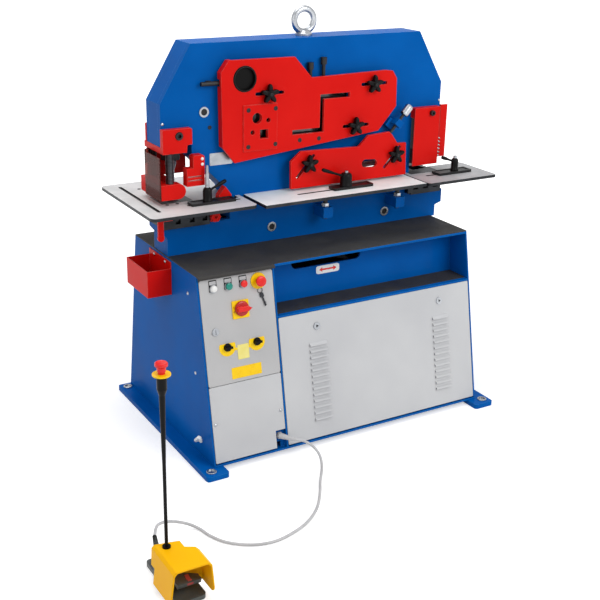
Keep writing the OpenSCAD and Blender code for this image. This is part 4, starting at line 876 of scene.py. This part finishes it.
# White pipe elbow low on the left side wall
wall = boxOf("cabinet")[0].x
elbowSet = {
    "radiusMm": 6,
    "path": ((2, -268, 82), (-14, -268, 82), (-24, -274, 88), (-28, -292, 102), (-29, -313, 120)),
    "collar": ((13, 0), (13, 3), (11, 5), (8, 5.5)),
}
made = bmesh.new()
elbowPath = smoothPath(inMetres((wall + x, y, z) for x, y, z in elbowSet["path"]), 5)
addTube(made, elbowPath, elbowSet["radiusMm"] * mm, 20)
addLoft(made, turnedRings(elbowSet["collar"], 32), placeAt((wall, *elbowSet["path"][0][1:]), left))
finishPiece("pipeElbow", made, "machine", "whitePlastic")

# Service cover on the cabinet's back, with its screws
rearSet = {"size": (980, 430), "height": 350, "thickMm": 2.0, "screwMm": 13}
rearPoint, rearNormal = hitOn("cabinet", (0, 900, rearSet["height"]), front)
rearPlace = placeAt(rearPoint, rearNormal)
made = bmesh.new()
width, height = rearSet["size"]
addPlate(made, boxOutline(width, height, 14), rearSet["thickMm"], rearPlace)
finishPiece("rearCover", made, "machine", "greyPowder")
rearSpots = []
for sx in (-1, -0.34, 0.34, 1):
    for sy in (-1, 1):
        spot = Vector((sx * (width / 2 - 18), sy * (height / 2 - 18), rearSet["thickMm"])) * mm
        rearSpots.append(((rearPlace @ spot) / mm, rearNormal, rearSet["screwMm"]))

setHeads("rearScrews", "dome", rearSpots, "machine", "zincPlate")
print("frame details made")

# The sloping front: a place at its foot, and a place on it at a distance across and a height
doorHit, doorOut = hitOn("door", (-340, -900, 560), back)
slopeUp = doorOut.cross(Vector((1, 0, 0)))


def onDoor(x, height, out=0.0):
    along = (height - doorHit.z) / slopeUp.z
    point = doorHit + slopeUp * along + doorOut * out
    return placeAt((x, point.y, point.z), doorOut)


# Where the middle of a part on the door stands: distance across and height at the door's face
def doorSpot(node):
    middle = boxOf(node)[2]
    face = middle - doorOut * (middle - doorHit).dot(doorOut)
    return face.x, face.z


startX, buttonZ = doorSpot("start_button")
stopX = doorSpot("stop_button")[0]
lampX = 2 * startX - stopX
estopX, estopZ = doorSpot("estop_button")
switchX, switchZ = doorSpot("main_switch")

# Legend plates above the lamp and the two buttons: black frame, grey field
legendSet = {"size": (31, 42), "rise": 9, "field": (26, 13), "fieldRise": 20}
made, fields = bmesh.new(), bmesh.new()
for x in (lampX, startX, stopX):
    width, height = legendSet["size"]
    addPlate(made, boxOutline(width, height, 3, (0, legendSet["rise"])), 1.0, onDoor(x, buttonZ))
    width, height = legendSet["field"]
    fieldOutline = boxOutline(width, height, 1.5, (0, legendSet["fieldRise"]))
    addPlate(fields, fieldOutline, 0.5, onDoor(x, buttonZ, 0.9), 0.1)
finishPiece("legendFrames", made, "door", "blackNylon")
finishPiece("legendFields", fields, "door", "greyPlastic")

# Caps of the lamp and the buttons, domed, on turned bezels
capSet = {
    "sides": 40,
    "cap": ((9.6, -19), (9.6, 9.6), (12.9, 9.6), (13.1, 10.6), (12.9, 12.4), (11.4, 14), (8, 15), (3, 15.4)),
    "lamp": ((12.6, 1.2), (12.6, 10.6), (12, 12.6), (10, 14.4), (6.6, 15.6), (2, 16)),
    "bezel": ((14.9, 0.9), (14.9, 4.6), (14.1, 5.4), (12.4, 5.4), (11.6, 4.6), (11.6, 0.9)),
}
for name, x, profile, finish, replaced in (
    ("lampCap", lampX, "lamp", "whitePlastic", None),
    ("startCap", startX, "cap", "greenPlastic", "start_button"),
    ("stopCap", stopX, "cap", "redPlastic", "stop_button"),
):
    made = bmesh.new()
    addLoft(made, turnedRings(capSet[profile], capSet["sides"]), onDoor(x, buttonZ))
    piece = finishPiece(name, made, bodyOf[replaced] if replaced else "door", finish)
    if replaced:
        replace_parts(piece, replaced)
made = bmesh.new()
for x in (lampX, startX, stopX):
    addLoft(made, turnedRings(capSet["bezel"], capSet["sides"]), onDoor(x, buttonZ), True)
finishPiece("bezels", made, "door", "toolSteel")

# Main switch: red dial in a darker red than its pointed grip, as painted shade, I and O beside it
switchSet = {
    "dial": ((6, -38), (6, 5.6), (25, 5.6), (27.6, 7), (28, 9), (27.2, 12), (24, 14), (20, 14.4)),
    "grip": [(-24, -8), (-20, -9.5), (18, -9.5), (33, 0), (18, 9.5), (-20, 9.5), (-24, 8)],
    "gripHighMm": 17,
    "ring": ((3.4, 0), (3.4, 0.5), (2.1, 0.5), (2.1, 0)),
}
made = bmesh.new()
addLoft(made, turnedRings(switchSet["dial"], 56), onDoor(switchX, switchZ))
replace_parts(finishPiece("switchDial", made, bodyOf["main_switch"], "dialRed"), "main_switch")
made = bmesh.new()
addPlate(made, switchSet["grip"], switchSet["gripHighMm"], onDoor(switchX, switchZ, 13.6), 2.5)
finishPiece("switchGrip", made, bodyOf["main_switch"], "redPlastic")
made = bmesh.new()
marks = onDoor(switchX, switchZ, 4.8)
addPlate(made, boxOutline(1.6, 8, 0.6, (-30.5, 7), 4), 0.5, marks, 0.1)
addLoft(made, turnedRings(switchSet["ring"], 24, (-29.6, -9)), marks, True)
finishPiece("switchMarks", made, "door", "darkRed")


# Second colours on the door's fittings, by the distance from an item's middle and from the face
def paintOnDoor(node, finish, x, height, reach, lowOut, highOut):
    inverse = onDoor(x, height).inverted()

    def chosen(middle):
        local = inverse @ (middle * mm) / mm
        return local.xy.length < reach and lowOut < local.z < highOut

    paintWhere(node, finish, chosen)


for x in (lampX, startX, stopX):
    paintOnDoor("door_fittings", "toolSteel", x, buttonZ, 17, -20, 20)
for name in ("left_selector", "right_selector"):
    x, height = doorSpot(name)
    paintOnDoor("door_fittings", "blackNylon", x, height, 16, 1.5, 6)
for spot in (-131, 445):
    paintOnDoor("cover_locks", "blackOxide", spot, 457, 11, -30, 2.4)
print("door buttons made")

# Bare yellow plates between and below the two selectors
middleX = (doorSpot("left_selector")[0] + doorSpot("right_selector")[0]) / 2
for name, finish, thick, plates in (
    ("yellowPlates", "yellowPlastic", 0.8, [(middleX + 9, 347, 122, 42), (middleX, 434, 84, 9)]),
    ("palePlate", "paleYellow", 1.1, [(middleX + 2, 420, 46, 54)]),
):
    made = bmesh.new()
    for x, height, wide, tall in plates:
        addPlate(made, boxOutline(wide, tall, 2), thick, onDoor(x, height), 0.2)
    finishPiece(name, made, "door", finish)

# Key ring hanging on the emergency button's collar, with its key
ringSet = {"radiusMm": 9.5, "wireMm": 1.1, "turns": 40}
ringPlace = onDoor(estopX + 4, estopZ - 39, 3.2)
made = bmesh.new()
wire = roundRing(ringSet["wireMm"], 0, 10)
loops = [roundRing(ringSet["radiusMm"] + point.x, point.y, ringSet["turns"]) for point in wire]
addLoft(made, loops, ringPlace, True)
keyPlace = onDoor(estopX + 9, estopZ - 57, 3.4) @ Matrix.Rotation(math.radians(16), 4, "Z")
addPlate(made, boxOutline(15, 20, 6), 2.0, keyPlace)
addPlate(made, boxOutline(5.5, 36, 1, (0.5, -26)), 2.0, keyPlace)
for k in range(3):
    addPlate(made, boxOutline(3.4, 3, 0.6, (4.2, -30 - 5 * k)), 2.0, keyPlace)
bmesh.ops.recalc_face_normals(made, faces=made.faces)
finishPiece("keyAndRing", made, "door", "milledSteel")

# Screws on the sloping front
lowerSpots = [(onDoor(x, height).translation / mm, doorOut, 13) for x, height in ((-584, 176), (-314, 172))]
setHeads("panelScrews", "dome", lowerSpots, "machine", "zincPlate")

# Electrical gear behind the door: transformer dark, contactors black, rails at the back bright
gearSet = {"backMm": -148.5, "contactorsAbove": 575, "transformerBelow": 450, "transformerLeftOf": -440}
gearPlace = onDoor(0, doorHit.z).inverted()


# Distance across, rise along the slope and depth behind the door of a point in millimetres
def behindDoor(middle):
    local = gearPlace @ (middle * mm) / mm
    return local.x, local.y + doorHit.z / slopeUp.z, local.z


def isTransformer(middle):
    across, rise = behindDoor(middle)[:2]
    return rise < gearSet["transformerBelow"] and across < gearSet["transformerLeftOf"]


paintWhere("control_gear", "milledSteel", isTransformer)
paintWhere("control_gear", "blackNylon", lambda middle: behindDoor(middle)[1] > gearSet["contactorsAbove"])
paintWhere("control_gear", "zincPlate", lambda middle: behindDoor(middle)[2] < gearSet["backMm"])


# Thin strip that lies on a part along rays sent at it, wide in x, in millimetres
def layStrip(name, node, starts, direction, wide, thick, body, finish):
    made = bmesh.new()
    rings = []
    for start in starts:
        point, normal = hitOn(node, start, direction)
        lift = normal * thick
        side = Vector((wide / 2, 0, 0))
        rings.append([point - side, point + side, point + side + lift, point - side + lift])
    addLoft(made, rings)
    bmesh.ops.recalc_face_normals(made, faces=made.faces)
    return finishPiece(name, made, body, finish)


# Red stripe down the treadle of the foot switch, and the patch on its lip
pedalLow, pedalHigh = boxOf("pedal")[:2]
stripe = {"inMm": 44, "wideMm": 13, "thickMm": 0.8, "steps": 12}
topY, lipY = pedalHigh.y - 39, pedalLow.y + 4
stripeX = pedalLow.x + stripe["inMm"]
starts = [(stripeX, topY + (lipY - topY) * k / (stripe["steps"] - 1), 300) for k in range(stripe["steps"])]
layStrip("treadleStripe", "pedal", starts, (0, 0, -1), stripe["wideMm"], stripe["thickMm"], "pedal", "dustyRed")

lipStarts = [(stripeX, pedalLow.y - 60, pedalLow.z + rise) for rise in (4, 7, 10, 13)]
layStrip("lipPatch", "pedal", lipStarts, back, stripe["wideMm"] + 6, stripe["thickMm"], "pedal", "dustyRed")
print("foot switch dressed")


# Floor that shows as the pale background and keeps the machine's shadow
floorSet = {"half": 40, "colour": "#E6E6E6", "liftNear": 0.45, "near": 1.4, "far": 3.6}
half = floorSet["half"]
floorMesh = bpy.data.meshes.new("floor")
floorMesh.from_pydata([(-half, -half, 0), (half, -half, 0), (half, half, 0), (-half, half, 0)], [], [(0, 1, 2, 3)])
floor = bpy.data.objects.new("floor", floorMesh)
floor.location.z = -0.4 * mm
bpy.context.scene.collection.objects.link(floor)
floorMaterial = bpy.data.materials.new("whiteFloorPaint")
floorMaterial.use_nodes = True
tree = floorMaterial.node_tree
tree.nodes.clear()


# How far a ray is one that shows the white surroundings: from the eye, a mirror or through a sheet
def showsWhite(tree):
    seen = addNode(tree, "ShaderNodeLightPath").outputs
    eyes = addNode(
        tree, "ShaderNodeMath", {0: seen["Is Camera Ray"], 1: seen["Is Transmission Ray"]}, operation="MAXIMUM"
    )
    every = addNode(tree, "ShaderNodeMath", {0: eyes.outputs[0], 1: seen["Is Glossy Ray"]}, operation="MAXIMUM")
    return every.outputs[0]


# The lift grows with the distance from the machine, so that the far floor meets the white world
ground = addNode(tree, "ShaderNodeTexCoord").outputs["Object"]
distance = addNode(tree, "ShaderNodeVectorMath", {0: ground}, operation="LENGTH")
lifted = addNode(
    tree,
    "ShaderNodeMapRange",
    {
        "Value": distance.outputs["Value"],
        "From Min": floorSet["near"],
        "From Max": floorSet["far"],
        "To Min": floorSet["liftNear"],
        "To Max": 1.0,
    },
)
matt = addNode(tree, "ShaderNodeBsdfDiffuse", {"Color": linear(floorSet["colour"])})
lift = addNode(tree, "ShaderNodeEmission", {"Color": (1, 1, 1, 1), "Strength": lifted.outputs["Result"]})
both = addNode(tree, "ShaderNodeAddShader", {0: matt.outputs[0], 1: lift.outputs[0]})
mixed = addNode(tree, "ShaderNodeMixShader", {0: showsWhite(tree), 1: matt.outputs[0], 2: both.outputs[0]})
addNode(tree, "ShaderNodeOutputMaterial", {"Surface": mixed.outputs[0]})
floorMesh.materials.append(floorMaterial)

# World: white where it is seen or mirrored, dimmer as a light
world = bpy.data.worlds.new("studio")
bpy.context.scene.world = world
world.use_nodes = True
tree = world.node_tree
tree.nodes.clear()
strength = addNode(
    tree,
    "ShaderNodeMapRange",
    {"Value": showsWhite(tree), "From Min": 0.0, "From Max": 1.0, "To Min": 0.55, "To Max": 1.0},
)
sky = addNode(tree, "ShaderNodeBackground", {"Color": (1, 1, 1, 1), "Strength": strength.outputs["Result"]})
addNode(tree, "ShaderNodeOutputWorld", {"Surface": sky.outputs[0]})

# Soft boxes: (name, place, watts, size)
target = Vector((-0.1, -0.1, 0.8))
for name, place, watts, size in (
    ("keyBox", (1.6, -4.2, 3.6), 120, 2.6),
    ("fillBox", (-4.2, -1.6, 2.6), 18, 2.4),
    ("topBox", (-0.5, 0.6, 4.4), 72, 2.6),
):
    lamp = bpy.data.lights.new(name, "AREA")
    lamp.energy, lamp.shape, lamp.size = watts, "SQUARE", size
    box = bpy.data.objects.new(name, lamp)
    bpy.context.scene.collection.objects.link(box)
    box.location = place
    box.rotation_euler = (target - Vector(place)).to_track_quat("-Z", "Y").to_euler()
print("light set")

for head in heads.values():
    bpy.data.objects.remove(head)
